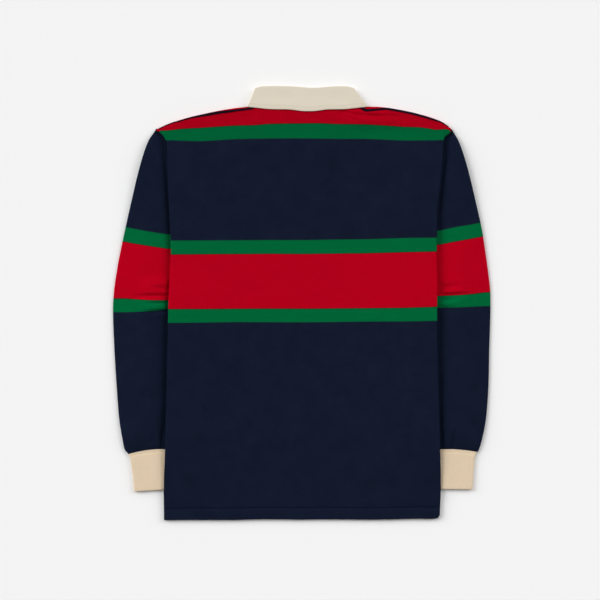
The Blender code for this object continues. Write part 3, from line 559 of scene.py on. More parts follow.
hem_y = through(HEM_LINE, "x", "y")
body_edge = by_side(BODY_SIDES, "y", "left", "right")
sleeve_edge = by_side(SLEEVE_OUTLINE, "y", "left", "right")
sleeve_rise = by_side(SLEEVE_SECTIONS, "y", "rise_left", "rise_right")
sleeve_roll = {
    -1: lines_through(SLEEVE_ROLL, "y", SLEEVE_ROLL[0]._fields[1:4]),
    1: lines_through(SLEEVE_ROLL, "y", SLEEVE_ROLL[0]._fields[4:]),
}
sleeve_tuck = through(SLEEVE_SECTIONS, "y", "tuck")
shoulder_outline = through(SHOULDERS, "x", "outline")
shoulder_seam_depth = through(SHOULDERS, "x", "seam_depth")
cuff_tuck = through(CUFFS, "drop", "tuck")
cuff_outline = by_side(CUFFS, "drop", "left", "right")
tape_middle = {side: through(rows, "x", "y") for side, rows in TAPES.items()}
tape_width = {side: through(rows, "x", "width") for side, rows in TAPES.items()}
body_lines = lines_through(BODY_BANDS, "x", BODY_BANDS[0]._fields[1:])
sleeve_lines = {
    side: lines_through(rows, "x", rows[0]._fields[1:]) for side, rows in SLEEVE_BANDS.items()
}


def course_at(lines, nominal, x, y):
    """Distance along the knitting at a place, which is the same all along one row of loops."""
    heights = [line(x) for line in lines]
    if y <= heights[0]:
        return nominal[0] + y - heights[0]
    for i in range(1, len(heights)):
        if y <= heights[i]:
            share = (y - heights[i - 1]) / (heights[i] - heights[i - 1])
            return mix(nominal[i - 1], nominal[i], share)
    return nominal[-1] + y - heights[-1]


def body_course(x, y):
    return course_at(body_lines, BODY_BAND_LINES, x, y)


def sleeve_course(side, x, y):
    return course_at(sleeve_lines[side], SLEEVE_BAND_LINES, x, y)


def folded(rows, x, y):
    """How far the creases of a table lower a face at a place."""
    depth = 0.0
    for row in rows:
        way_x, way_y = row.x1 - row.x0, row.y1 - row.y0
        square = way_x * way_x + way_y * way_y
        share = ((x - row.x0) * way_x + (y - row.y0) * way_y) / square
        if 0 < share < 1:
            off = ((x - row.x0) * way_y - (y - row.y0) * way_x) / math.sqrt(square)
            width = row.half_width
            if row.depth > 0 and off * way_x > 0:
                width *= SOFT_SIDE
            if abs(off) < 3 * width:
                run = ramp(share, *FOLD_START) * ramp(share, *FOLD_END)
                depth += row.depth * run * hill(off, width)
    return depth


def inward(x, y):
    """How far a point lies inside the nearer side of the body."""
    return min(x - body_edge[-1](y), body_edge[1](y) - x)


def over(area, x, y, reach):
    """1 over a part under the front that is half so wide and ends there, 0 at reach beyond it."""
    half, end_y = area
    across = max(0.0, abs(x - NECK_X) - half) / reach
    below = max(0.0, end_y - y) / reach
    return 1 - smooth(math.hypot(across, below))


def side_closed(y):
    """1 where the body's side is sewn to a side seam, 0 where it is an armhole."""
    return ramp(y, *UNDERARM_SEWN)


def hem_seam(x, y):
    """How far the hem's stitching draws the cloth in, with small puckers beside it."""
    above = y - hem_y(x) - HEM_DEPTH
    pucker = 0.5 + 0.5 * math.sin(x / 1.9 + 1.3 * math.sin(x / 7.3) + above / 6)
    return HEM_GROOVE * hill(above + 0.4, 2.0) + HEM_PUCKER * pucker * hill(above, 8.0)


def front_bottom(x, y):
    """Height of the front's outer face, which is its lower one."""
    tuck = max(sleeve_tuck(y), CUFFS[0].tuck) + 8  # a little beyond what lies under it
    on_sleeve = ramp(y, *ON_CUFF) * side_closed(y)
    sleeve = LIFT * on_sleeve * ramp(inward(x, y), tuck + UNDER_SLOPE, tuck)
    parts = [over(area, x, y, UNDER_SLOPE) for area in (COLLAR_LEAVES, PLACKET_AREA)]
    return max(sleeve, NECK_LIFT * max(parts))


def back_top(x, y):
    """Height of the back's outer face, which is its upper one, before its creases."""
    side_top = mix(SIDE_TOP, ARMHOLE_TOP, ramp(y, *SIDE_TO_ARMHOLE))
    side_top = mix(side_top, TIP_TOP, ramp(y, *ARMHOLE_TO_TIP))
    side_top = mix(HEM_TOP, side_top, ramp(y, *HEM_TO_SIDE))
    puff = NECK_PUFF * ramp(y, *PUFF_BELOW) * ramp(y, *PUFF_ABOVE)
    puff = puff * ramp(x, *PUFF_LEFT) * ramp(x, *PUFF_RIGHT)
    top = mix(MIDDLE_TOP, HEM_TOP, ramp(y, *MIDDLE_TO_HEM))
    at_neck = max(over(COLLAR_LEAVES, x, y, PART_SLOPE), ramp(y, *MIDDLE_TO_NECK))
    top = mix(top, NECK_TOP + puff, at_neck)
    at_placket = over(PLACKET_AREA, x, y, PART_SLOPE) * ramp(y, *PLACKET_TO_NECK)
    top = max(top, mix(top, PLACKET_TOP, at_placket))
    tuck = CUFFS[0].tuck
    return mix(top, side_top, ramp(inward(x, y), tuck + SIDE_SLOPE, tuck))


def fold_radius(x, y):
    """Half the body's thickness, which is the radius of a fold at its edge."""
    return (back_top(x, y) - front_bottom(x, y)) / 2


def shoulder_radius(x):
    return fold_radius(x, shoulder_outline(x) - 4)


def shoulder_arc(radius, depth):
    """Distance over the shoulder's edge and on, to a depth below its outline."""
    return radius * math.acos(1 - min(1.0, depth / radius)) + max(0.0, depth - radius)


def shoulder_spot(x, depth, raised=0.0):
    """A spot on the body's upper face at a depth below the shoulder's outline, measured in plan.
    A depth below 0 is a distance round the edge, towards the lower face."""
    outline = shoulder_outline(x)
    radius = shoulder_radius(x)
    angle = min(0.0, depth / radius) or math.acos(1 - min(1.0, depth / radius))
    y = outline - (depth if depth > 0 else radius * (1 - math.cos(angle)))
    middle = back_top(x, y) - radius
    crease = folded(BACK_FOLDS, x, y) * ramp(depth, 4, 14) + hem_seam(x, y)
    place = (x, y, middle + radius * math.sin(angle) - crease)
    out = (0.0, math.cos(angle), math.sin(angle))
    course = body_course(x, y) + radius * (math.pi / 2 - angle) - radius * math.cos(angle)
    return Spot(moved(place, out, raised), out, (x, course))


def neck_share(x):
    return min(1.0, abs((x - NECK_X) / NECK_HALF))


def back_neck_y(x):
    return NECK_SIDE_Y - BACK_NECK_DROP * (1 - neck_share(x) ** 2)


def front_neck_y(x):
    return NECK_SIDE_Y - 2 - FRONT_NECK_DROP * (1 - neck_share(x) ** FRONT_NECK_POWER)


def resting(place):
    """A place, or the one above it on the surface the shirt lies on."""
    x, y, z = place
    return Vector((x, y, max(0.0, z)))


def in_scene(name, data):
    """A new object in the scene, with its mesh, light or camera."""
    new = bpy.data.objects.new(name, data)
    bpy.context.scene.collection.objects.link(new)
    return new


def as_object(name, made):
    """Turns a finished bmesh into an object in the scene."""
    mesh = bpy.data.meshes.new(name)
    made.to_mesh(mesh)
    made.free()
    return in_scene(name, mesh)


def placed(name, made, material):
    """Turns a finished bmesh into a piece that rides on the shirt."""
    piece = as_object(name, made)
    piece.data.materials.append(material)
    piece.data.shade_smooth()
    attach(piece, "root")
    return piece


def cloth(name, rows, wall, material, node, slot, keep=lambda row, column: True, loop=False):
    """A closed wall from rows of spots on its outer face, in place of a node. keep says which cells
    of the grid are cloth. In a loop each row's last spot lies on its first. The cut edges are
    rounded."""
    made = bmesh.new()
    knit = made.loops.layers.uv.new("knit")
    rounded = made.edges.layers.float.new("bevel_weight_edge")
    count = len(rows[0]) - 1 if loop else len(rows[0])
    outer, inner = {}, {}
    for r, row in enumerate(rows):
        for c in range(count):
            outer[r, c] = made.verts.new(resting(row[c].place) * MM)
            inner[r, c] = made.verts.new(resting(sunk(row[c], wall).place) * MM)

    def face(corners, layers):
        new = made.faces.new([layer[r, c % count] for layer, (r, c) in zip(layers, corners)])
        for corner, (r, c) in zip(new.loops, corners):
            corner[knit].uv = [at * MM for at in rows[r][c].knit]
        return new

    cells = count if loop else count - 1
    kept = {(r, c) for r in range(len(rows) - 1) for c in range(cells) if keep(r, c)}
    for r, c in sorted(kept):
        corners = [(r, c), (r, c + 1), (r + 1, c + 1), (r + 1, c)]
        face(corners, [outer] * 4)
        face(corners[::-1], [inner] * 4)
        after, before = (c + 1, c - 1) if not loop else ((c + 1) % count, (c - 1) % count)
        for step, neighbour in enumerate([(r - 1, c), (r, after), (r + 1, c), (r, before)]):
            if neighbour not in kept:
                a, b = corners[step], corners[(step + 1) % 4]
                rim = face([b, a, a, b], [outer, outer, inner, inner])
                rim.edges[0][rounded] = 1.0
                rim.edges[2][rounded] = 1.0
    unused = [vertex for vertex in made.verts if not vertex.link_faces]
    bmesh.ops.delete(made, geom=unused, context="VERTS")
    piece = placed(name, made, material)
    edge = piece.modifiers.new("rounded edge", "BEVEL")
    edge.limit_method = "WEIGHT"
    edge.width = 0.32 * wall * MM
    edge.segments = 2
    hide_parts(node)
    return piece


def stitches(name, track, thread, zigzag=0.0, closed=False):
    """A row of stitches along a track of spots. Each is a short thread that dips into the cloth at
    both ends. A zigzag's stitches cross from side to side."""
    radius = in_mm("shirt_sewing", "thread") / 2
    long, gap = in_mm("shirt_sewing", "stitch"), in_mm("shirt_sewing", "stitch_gap")
    if zigzag:
        long, gap = ZIGZAG_STITCH, ZIGZAG_GAP
    if closed:
        track = [*track, track[0]]
    places = [Vector(spot.place) for spot in track]
    ways = [Vector(spot.out) for spot in track]
    reach = [0.0]
    for a, b in zip(places, places[1:]):
        reach.append(reach[-1] + (b - a).length)
    at = 0

    def on_track(distance):
        nonlocal at
        while at and reach[at] > distance:
            at -= 1
        while at < len(reach) - 2 and reach[at + 1] < distance:
            at += 1
        share = (distance - reach[at]) / max(1e-9, reach[at + 1] - reach[at])
        out = ways[at].lerp(ways[at + 1], share).normalized()
        along = (places[at + 1] - places[at]).normalized()
        return places[at].lerp(places[at + 1], share), out, along.cross(out)

    made = bmesh.new()
    number = 0
    start = gap
    while start + long < reach[-1]:
        rings = []
        for share in (0, 0.25, 0.5, 0.75, 1):
            place, out, across = on_track(start + long * share)
            swing = zigzag * (1 - 2 * share) * (-1) ** number
            lift = radius * (1.6 * math.sin(math.pi * share) - 0.9)
            middle = place + out * lift + across * swing
            thick = radius * (0.72 + 0.28 * math.sin(math.pi * share))
            ring = []
            for corner in range(6):
                turn = math.pi * corner / 3
                point = middle + (across * math.cos(turn) + out * math.sin(turn)) * thick
                ring.append(made.verts.new(resting(point) * MM))
            rings.append(ring)
        for a, b in zip(rings, rings[1:]):
            for corner in range(6):
                after = (corner + 1) % 6
                made.faces.new((a[corner], a[after], b[after], b[corner]))
        made.faces.new(rings[0][::-1])
        made.faces.new(rings[-1])
        start += long + gap
        number += 1
    bmesh.ops.recalc_face_normals(made, faces=made.faces)
    shade = THREADS[thread]
    piece = placed(name, made, kept_material(f"spun_thread_{thread}", spun_thread, shade))
    return piece


# Materials


def add_node(tree, kind, inputs=(), **settings):
    """Adds a node with its settings, and fills its inputs with values or other nodes' outputs."""
    node = tree.nodes.new("ShaderNode" + kind)
    for name, value in settings.items():
        setattr(node, name, value)
    for name, value in inputs.items() if isinstance(inputs, dict) else enumerate(inputs):
        if isinstance(value, bpy.types.Node):
            value = value.outputs[0]
        if isinstance(value, bpy.types.NodeSocket):
            tree.links.new(value, node.inputs[name])
        else:
            node.inputs[name].default_value = value
    return node


def kept_material(name, make, *details):
    """The material of that name, made once."""
    return bpy.data.materials.get(name) or make(name, *details)


def new_finish(name, tint, roughness, specular, sheen, sheen_roughness):
    """A material with its shader's even values set, and its node tree."""
    material = bpy.data.materials.new(name)
    material.use_nodes = True
    shader = material.node_tree.nodes["Principled BSDF"]
    shader.inputs["Roughness"].default_value = roughness
    shader.inputs["IOR"].default_value = 1.5
    shader.inputs["Specular IOR Level"].default_value = specular
    shader.inputs["Sheen Weight"].default_value = sheen
    shader.inputs["Sheen Roughness"].default_value = sheen_roughness
    shader.inputs["Sheen Tint"].default_value = (*tint, 1.0)
    return material, material.node_tree


def varied(tree, base, value, low, high, amount, shade=1.0):
    """A colour that gets lighter by an amount either way while a value goes from low to high."""
    ends = {"From Min": low, "From Max": high, "To Min": 1 - amount, "To Max": 1 + amount}
    cast = add_node(tree, "MapRange", {"Value": value, **ends})
    factor = add_node(tree, "Math", [cast, shade], operation="MULTIPLY")
    return add_node(tree, "VectorMath", {0: base, "Scale": factor}, operation="SCALE")


def surfaced(material, place, base, height, mottle, depth_shade, relief):
    """Gives a material its yarn's unevenness, the shade between its loops and their relief."""
    tree = material.node_tree
    broad = {"Vector": place, "Scale": 26.0, "Detail": 4.0, "Roughness": 0.6}
    wide = add_node(tree, "TexNoise", broad)
    fine = add_node(tree, "TexNoise", {"Vector": place, "Scale": 520.0, "Detail": 2.0})
    drawn_out = add_node(tree, "VectorMath", [place, (22.0, 240.0, 1.0)], operation="MULTIPLY")
    slub = add_node(tree, "TexNoise", {"Vector": drawn_out, "Scale": 1.0, "Detail": 2.0})
    both = add_node(tree, "Math", [fine, 0.5, wide], operation="MULTIPLY_ADD")
    both = add_node(tree, "Math", [slub, 0.8, both], operation="MULTIPLY_ADD")
    levels = [height, depth_shade, 1 - depth_shade / 2]
    shade = add_node(tree, "Math", levels, operation="MULTIPLY_ADD")
    dyed = varied(tree, base, both, 0.75, 1.55, mottle, shade)
    fibres = add_node(tree, "TexNoise", {"Vector": place, "Scale": 1500.0, "Detail": 2.0})
    fuzz = add_node(tree, "Math", [fibres, 0.35, height], operation="MULTIPLY_ADD")
    bump = add_node(tree, "Bump", {"Strength": 0.6, "Distance": relief, "Height": fuzz})
    shader = tree.nodes["Principled BSDF"]
    tree.links.new(dyed.outputs[0], shader.inputs["Base Color"])
    tree.links.new(bump.outputs[0], shader.inputs["Normal"])
    return material


def knit_place(tree):
    """The place on the cloth's knitting or weave, and the ways across and along it."""
    knit = add_node(tree, "UVMap", uv_map="knit")
    split = add_node(tree, "SeparateXYZ", [knit])
    return knit, split.outputs["X"], split.outputs["Y"]


def wave(tree, along, length, size=0.5, level=0.5):
    """A wave of that length and size along a distance, about a level."""
    turn = add_node(tree, "Math", [along, 2 * math.pi / length], operation="MULTIPLY")
    sine = add_node(tree, "Math", [turn], operation="SINE")
    return add_node(tree, "Math", [sine, size, level], operation="MULTIPLY_ADD")


def knit_loops(tree, wale, course):
    """The face of plain knitting: columns of V-shaped loops. Gives the place on it, the distance
    along the rows, shifted by the V, and the loops' height from 0 to 1."""
    knit, across, along = knit_place(tree)
    column = add_node(tree, "Math", [across, wale], operation="DIVIDE")
    leg = add_node(tree, "Math", [column, 0.5], operation="PINGPONG")
    slant = add_node(tree, "Math", [leg, course * 1.1, along], operation="MULTIPLY_ADD")
    yarn = wave(tree, slant, course)
    groove = wave(tree, leg, 1, size=1, level=0)
    rounded = add_node(tree, "Math", [yarn, 0.45, 0.55], operation="MULTIPLY_ADD")
    return knit, slant, add_node(tree, "Math", [rounded, groove], operation="MULTIPLY")


def knitted_jersey(name, bands):
    """Cotton jersey, dyed in the yarn and knitted in bands. It is matt, the bands' edges are sharp
    and follow the rows of loops, and brushed fibres give a faint bloom at low angles. Garment
    washing leaves soft clouds in its navy. Real loops are about 1 mm wide and 0.8 mm high, too
    fine to show, so they are drawn twice as large."""
    cloths = bpy.context.scene.shirt_cloth
    material, tree = new_finish(
        name, cloths.navy, roughness=0.92, specular=0.015, sheen=0.02, sheen_roughness=0.4
    )
    place, course, height = knit_loops(tree, cloths.wale, cloths.course)
    wide = {"Vector": place, "Scale": 30.0, "Detail": 4.0, "Roughness": 0.68}
    clouds = add_node(tree, "TexNoise", wide)
    navy = varied(tree, cloths.navy, clouds, 0.3, 0.7, 0.13).outputs[0]
    dye = navy
    for start, yarn in bands:
        above = add_node(tree, "Math", [course, start * MM], operation="GREATER_THAN")
        new_dye = navy if yarn == "navy" else (*getattr(cloths, yarn), 1)
        dye = add_node(tree, "Mix", {0: above, 6: dye, 7: new_dye}, data_type="RGBA").outputs[2]
    return surfaced(material, place, dye, height, mottle=0.05, depth_shade=0.16, relief=0.00022)


def chest_bands(low, red_low, red_high, high):
    """Where each yarn starts, from below. Between red and green the loops interlock, drawn as a
    near-black line with their shade painted in.
    """
    bands = [(low, "green"), (red_low - IN_GREEN, "change"), (red_low + IN_RED, "red")]
    return bands + [(red_high - IN_RED, "change"), (red_high + IN_GREEN, "green"), (high, "navy")]


def body_bands():
    yoke, yoke_red = BODY_BAND_LINES[4:]
    # Across the shoulders the red and green are their darker copies: painted shade
    bands = chest_bands(*BODY_BAND_LINES[:4]) + [(yoke, "shoulder_green")]
    return bands + [(yoke_red - IN_GREEN, "change"), (yoke_red + IN_RED, "shoulder_red")]


def collar_twill(name):
    """Cotton twill, woven and pressed. It is smooth and matt, with fine slanting lines. Real lines
    are about 0.9 mm apart, too fine to show, so they are drawn twice as far apart."""
    cloths = bpy.context.scene.shirt_cloth
    material, tree = new_finish(
        name, cloths.collar, roughness=0.9, specular=0.04, sheen=0.02, sheen_roughness=0.5
    )
    place, across, along = knit_place(tree)
    slant = add_node(tree, "Math", [across, along], operation="ADD")
    line = wave(tree, slant, cloths.twill_line * math.sqrt(2))
    weft = wave(tree, across, cloths.twill_line * 0.7, size=0.2, level=line)
    return surfaced(
        material, place, cloths.collar, weft, mottle=0.02, depth_shade=0.035, relief=0.00007
    )


def cuff_knit(name):
    """Cotton rib knit, elastic and a little hairy. The ribs are in the form, and small loops run
    along each of them."""
    cloths = bpy.context.scene.shirt_cloth
    material, tree = new_finish(
        name, cloths.cuff, roughness=0.95, specular=0.03, sheen=0.03, sheen_roughness=0.5
    )
    place, _, height = knit_loops(tree, cloths.rib_pitch / 2, cloths.course)
    return surfaced(
        material, place, cloths.cuff, height, mottle=0.025, depth_shade=0.06, relief=0.00014
    )


def woven_tape(name):
    """Narrow cotton tape, woven in a herringbone. It is flat and slightly smoother than the
    jersey."""
    tape = bpy.context.scene.shirt_cloth.tape
    material, tree = new_finish(
        name, tape, roughness=0.85, specular=0.03, sheen=0.0, sheen_roughness=0.4
    )
    place, across, along = knit_place(tree)
    bend = add_node(tree, "Math", [along, 0.0013], operation="PINGPONG")
    slant = add_node(tree, "Math", [across, bend], operation="ADD")
    line = wave(tree, slant, 0.0011)
    return surfaced(
        material, place, tape, line, mottle=0.05, depth_shade=0.2, relief=0.00015
    )


def spun_thread(name, hex_colour):
    """Spun polyester sewing thread. It is twisted, so fine light and dark turns run along it, and a
    little glossier than the cloth."""
    shade = linear(hex_colour)
    material, tree = new_finish(
        name, shade, roughness=0.7, specular=0.06, sheen=0.03, sheen_roughness=0.4
    )
    place = add_node(tree, "TexCoord").outputs["Object"]
    turns = {"Vector": place, "Scale": 700.0, "Distortion": 1.0}
    way = {"wave_type": "BANDS", "bands_direction": "DIAGONAL"}
    twist = add_node(tree, "TexWave", turns, **way).outputs[1]
    return surfaced(
        material, place, shade, twist, mottle=0.04, depth_shade=0.25, relief=0.00005
    )


def button_rubber(name):
    """Natural rubber, moulded. It has a dull satin surface with very fine grain from the mould."""
    rubber = bpy.context.scene.shirt_buttons.rubber
    material, tree = new_finish(
        name, rubber, roughness=0.55, specular=0.4, sheen=0.0, sheen_roughness=0.5
    )
    place = add_node(tree, "TexCoord").outputs["Object"]
    grain = add_node(tree, "TexNoise", {"Vector": place, "Scale": 900.0, "Detail": 3.0})
    return surfaced(
        material, place, rubber, grain, mottle=0.02, depth_shade=0.05, relief=0.00003
    )


def painted_board(name):
    """A board with matt white paint, rolled on, which leaves it even with a very faint stipple."""
    paint = bpy.context.scene.shirt_studio.floor
    material, tree = new_finish(
        name, paint, roughness=0.9, specular=0.0, sheen=0.0, sheen_roughness=0.5
    )
    place = add_node(tree, "TexCoord").outputs["Object"]
    stipple = add_node(tree, "TexNoise", {"Vector": place, "Scale": 400.0, "Detail": 2.0})
    bump = add_node(tree, "Bump", {"Strength": 0.1, "Distance": 0.00003, "Height": stipple})
    shader = tree.nodes["Principled BSDF"]
    shader.inputs["Base Color"].default_value = (*paint, 1)
    tree.links.new(bump.outputs[0], shader.inputs["Normal"])
    return material


# The body


def body_shares():
    """Shares of the way from the hem to the shoulder at which the body's sections lie."""
    tip = TIP_Y[-1]
    heights = [HEM_Y + at for at in NEAR_HEM]
    count = round((BODY_SPAN - 64) / BODY_STEP)
    heights += [mix(HEM_Y + 30, tip - 34, step / count) for step in range(count)]
    heights += [mix(tip - 34, tip, step / 25) for step in range(26)]
    return [(y - HEM_Y) / BODY_SPAN for y in heights]


def row_y(low, high, share):
    """How high a section lies on its way from low to high. Near the hem it keeps its distance."""
    along = share * BODY_SPAN
    return low + along + (high - low - BODY_SPAN) * ramp(along, 60, BODY_SPAN)


def edge_row_y(side, share):
    return row_y(hem_y(body_edge[side](HEM_Y)), TIP_Y[side], share)


def armhole_inset(y):
    """How far inside the back's armhole edge the front's lies. They meet at the shoulder's tip."""
    return ARMHOLE_INSET * ramp(y, 308, 296)


def edge_turn(side, share):
    """The back's edge, from its flat to its end: it turns down round the body's side. It goes all
    the way under to the side seam, and at the armhole only down to the sleeve."""
    y = edge_row_y(side, share)
    edge = body_edge[side](y)
    near = edge - side * EDGE_INNER
    top = back_top(near, y) - hem_seam(edge, y)
    closed = side_closed(y)
    turn = mix(ARMHOLE_TURN, SIDE_TURN, closed)
    low = front_bottom(near, y) if y < UNDERARM_Y else LIFT
    end = mix(SLEEVE_TOP + SEAM_GAP, low, closed)
    radius = (top - end) / (1 - math.cos(turn))
    depth = radius * EDGE_PRESSED
    course = body_course(edge, y)
    spots = []
    for step in range(TURN_STEPS + 1):
        angle = turn * step / TURN_STEPS
        x = edge - side * depth * (1 - math.sin(angle))
        out = Vector((side * math.sin(angle), 0.0, EDGE_PRESSED * math.cos(angle))).normalized()
        across = edge - side * depth + side * EDGE_STRETCH * radius * angle
        spots.append(Spot((x, y, top - radius * (1 - math.cos(angle))), out, (across, course)))
    return spots


def front_end(side, share):
    """The x of the front's side edge, inside the back's turned edge."""
    y = edge_row_y(side, share)
    edge = body_edge[side](y)
    inset = armhole_inset(y)
    radius = max(inset, EDGE_PRESSED * fold_radius(edge - side * EDGE_INNER, y))
    return edge - side * (EDGE_SEAM + mix(inset, radius, side_closed(y)))


def shoulder_xs(side, end):
    """Where the columns of the body's shoulder part lie, from a side's end in to the neck."""
    shares = [(step / SIDE_COLUMNS) ** 1.25 for step in range(SIDE_COLUMNS + 1)]
    return [mix(end, NECK_X + side * NECK_HALF, share) for share in shares]


def back_spot(x, y):
    z = back_top(x, y) - folded(BACK_FOLDS, x, y) * ramp(inward(x, y), 3, 16) - hem_seam(x, y)
    return Spot((x, y, z), UP, (x, body_course(x, y)))


def back_row(share):
    """One section of the back, from the left side seam over the top to the right side seam."""
    halves = {}
    for side in SIDES:
        spots = edge_turn(side, share)[::-1]
        for x in shoulder_xs(side, spots[-1].place[0])[1:]:
            outline = shoulder_outline(x)
            seam_y = outline - shoulder_seam_depth(x) - SEAM_GAP / 2
            spots.append(shoulder_spot(x, outline - row_y(hem_y(x), seam_y, share)))
        halves[side] = spots
    neck = []
    for step in range(1, BACK_NECK_COLUMNS):
        x = NECK_X + NECK_HALF * mix(-1, 1, step / BACK_NECK_COLUMNS)
        neck.append(back_spot(x, row_y(hem_y(x), back_neck_y(x) - SEAM_GAP, share)))
    return halves[-1] + neck + halves[1][::-1]


def turned(spot, reach, angle, radius):
    """A spot moved round a fold whose middle lies radius below the face."""
    down = moved(spot.place, spot.out, -radius * (1 - math.cos(angle)))
    place = moved(down, TOWARDS_HEM, reach * math.sin(angle))
    out = moved([at * math.cos(angle) for at in spot.out], TOWARDS_HEM, math.sin(angle))
    return Spot(place, out, (spot.knit[0], spot.knit[1] - radius * angle))


def with_turned_hem(row_at, wall):
    """Rows of a body panel that start with its hem: the second ply, turned up inside and stitched
    to the first, and the fold at the hem's edge."""
    radius = wall + PLY_GAP
    rows = []
    for depth in (HEM_DEPTH + 3, HEM_DEPTH, 16.0, 10.0, 5.0, radius):
        rows.append([turned(spot, 0.0, math.pi, radius) for spot in row_at(depth / BODY_SPAN)])
    start = row_at(radius / BODY_SPAN)
    for step in range(PLY_STEPS - 1, 0, -1):
        angle = math.pi * step / PLY_STEPS
        rows.append([turned(spot, radius, angle, radius) for spot in start])
    return rows + [row_at(share) for share in body_shares()]


def turned_edge(x, share):
    """A spot of the front where it turns over the shoulder's edge, from its flat to the seam."""
    outline = shoulder_outline(x)
    radius = shoulder_radius(x)
    depth = shoulder_seam_depth(x) - SEAM_GAP / 2
    quarter = math.pi / 2 * radius
    end = quarter + shoulder_arc(radius, depth)
    arc = end * share
    angle = min(arc / radius, math.pi) - math.pi / 2
    past = max(0.0, arc - 2 * quarter)
    out = (0.0, math.cos(angle), math.sin(angle))
    low = front_bottom(x, outline - radius)
    place = (x, outline - radius * (1 - out[1]) - past, low + radius * (1 + out[2]))
    return Spot(place, out, (x, body_course(x, outline) + arc - radius))


def front_spot(x, high, share):
    """A spot of the front, on the way from the hem to that height."""
    y = row_y(hem_y(x), high, share)
    bottom = front_bottom(x, y)
    lift = folded(FRONT_FOLDS, x, y) * ramp(bottom, 0.6, 0.0) + hem_seam(x, y)
    return Spot((x, y, bottom + lift), DOWN, (-x, body_course(x, y)))


def front_row(share):
    """One section of the front, from the right side over to the left."""
    row = []
    for side in (1, -1):
        half = []
        for x in shoulder_xs(side, front_end(side, share)):
            half.append(front_spot(x, shoulder_outline(x) - shoulder_radius(x), share))
        for step in range(1, FRONT_NECK_COLUMNS + 1):
            x = NECK_X + side * mix(NECK_HALF, SLIT_HALF, step / FRONT_NECK_COLUMNS)
            half.append(front_spot(x, front_neck_y(x), share))
        row += half[::side]
    return row


def body_panel(word, rows, row_at, **more):
    """A panel of the body with its hem's stitches."""
    jersey = kept_material("cotton_jersey_body", knitted_jersey, body_bands())
    wall = in_mm("shirt_cloth", "jersey")
    piece = cloth(f"{word}_panel", rows, wall, jersey, word, "striped_jersey", **more)
    sewing = row_at(HEM_DEPTH / BODY_SPAN)
    return piece, [stitches(f"{word}_hem_stitches", sewing, "navy")]


def make_back():
    return body_panel("back", with_turned_hem(back_row, in_mm("shirt_cloth", "jersey")), back_row)


def make_front():
    """The front, with the slit for the placket. At each shoulder it turns over the body's edge."""
    rows = with_turned_hem(front_row, in_mm("shirt_cloth", "jersey"))
    shares = body_shares()
    starts = len(rows) - len(shares)
    top = len(rows) - 1
    slit_x = NECK_X + SLIT_HALF
    slit_share, above = 0.0, 1.0
    while above - slit_share > 1e-7:
        share = (slit_share + above) / 2
        if row_y(hem_y(slit_x), front_neck_y(slit_x), share) < PLACKET_BOTTOM_Y:
            slit_share = share
        else:
            above = share
    slit_row = starts + min(range(len(shares)), key=lambda r: abs(shares[r] - slit_share))
    rows[slit_row] = front_row(slit_share)
    last_flat = rows[-1]
    for step in range(1, TURN_STEPS + 1):
        rows.append([turned_edge(spot.place[0], step / TURN_STEPS) for spot in last_flat])
    columns = len(last_flat)

    def keep(row, column):
        in_slit = column == columns // 2 - 1 and row >= slit_row
        over_neck = SIDE_COLUMNS <= column <= columns - 2 - SIDE_COLUMNS and row >= top
        return not in_slit and not over_neck

    return body_panel("front", rows, front_row, keep=keep)


# The sleeves and cuffs


def sleeve_top(side, x, y):
    """Height of the sleeve's upper face: pressed flat under the body, and fuller beside it."""
    beside = side * (x - body_edge[side](min(y, 300.0)))
    start, width, height = (value(y) for value in sleeve_roll[side])
    short = 1 - min(1.0, max(0.0, (beside - start) / width))
    roll = height * (1 - short * short) * ramp(y, *ROLL_ENDS)
    crown = roll + SLEEVE_CROWN * ramp(beside, *CROWN_INSIDE) * ramp(y, *CROWN_ENDS)
    crown *= ramp(beside, *CROWN_OUTSIDE)
    crown *= mix(0.5, 1.0, ramp(y, *CROWN_AT_CUFF))
    puff = UNDERARM_PUFF[side] * ramp(beside, *UNDERARM_PUFF_INSIDE)
    puff *= ramp(beside, *UNDERARM_PUFF_OUTSIDE)
    puff *= ramp(abs(y - UNDERARM_PUFF_Y), *UNDERARM_PUFF_ENDS)
    crease = folded(SLEEVE_FOLDS[side], x, y) * ramp(beside, 0.5, 5)
    seam = CUFF_SEAM_DIP * ramp(y, CUFF_SEAM_Y + 5, CUFF_SEAM_Y - 2)
    return max(SLEEVE_TOP - 0.1, SLEEVE_TOP + crown + puff - crease - seam)


def seam_bow(side, x, away):
    """How far the cuff's seam bows up, at a distance from it along the sleeve or the cuff."""
    inner = body_edge[side](CUFF_SEAM_Y) - side * CUFFS[0].tuck
    share = min(1.0, max(0.0, (x - inner) / (cuff_outline[side](0.0) - inner)))
    return CUFF_SEAM_BOW[side] * 4 * share * (1 - share) * away


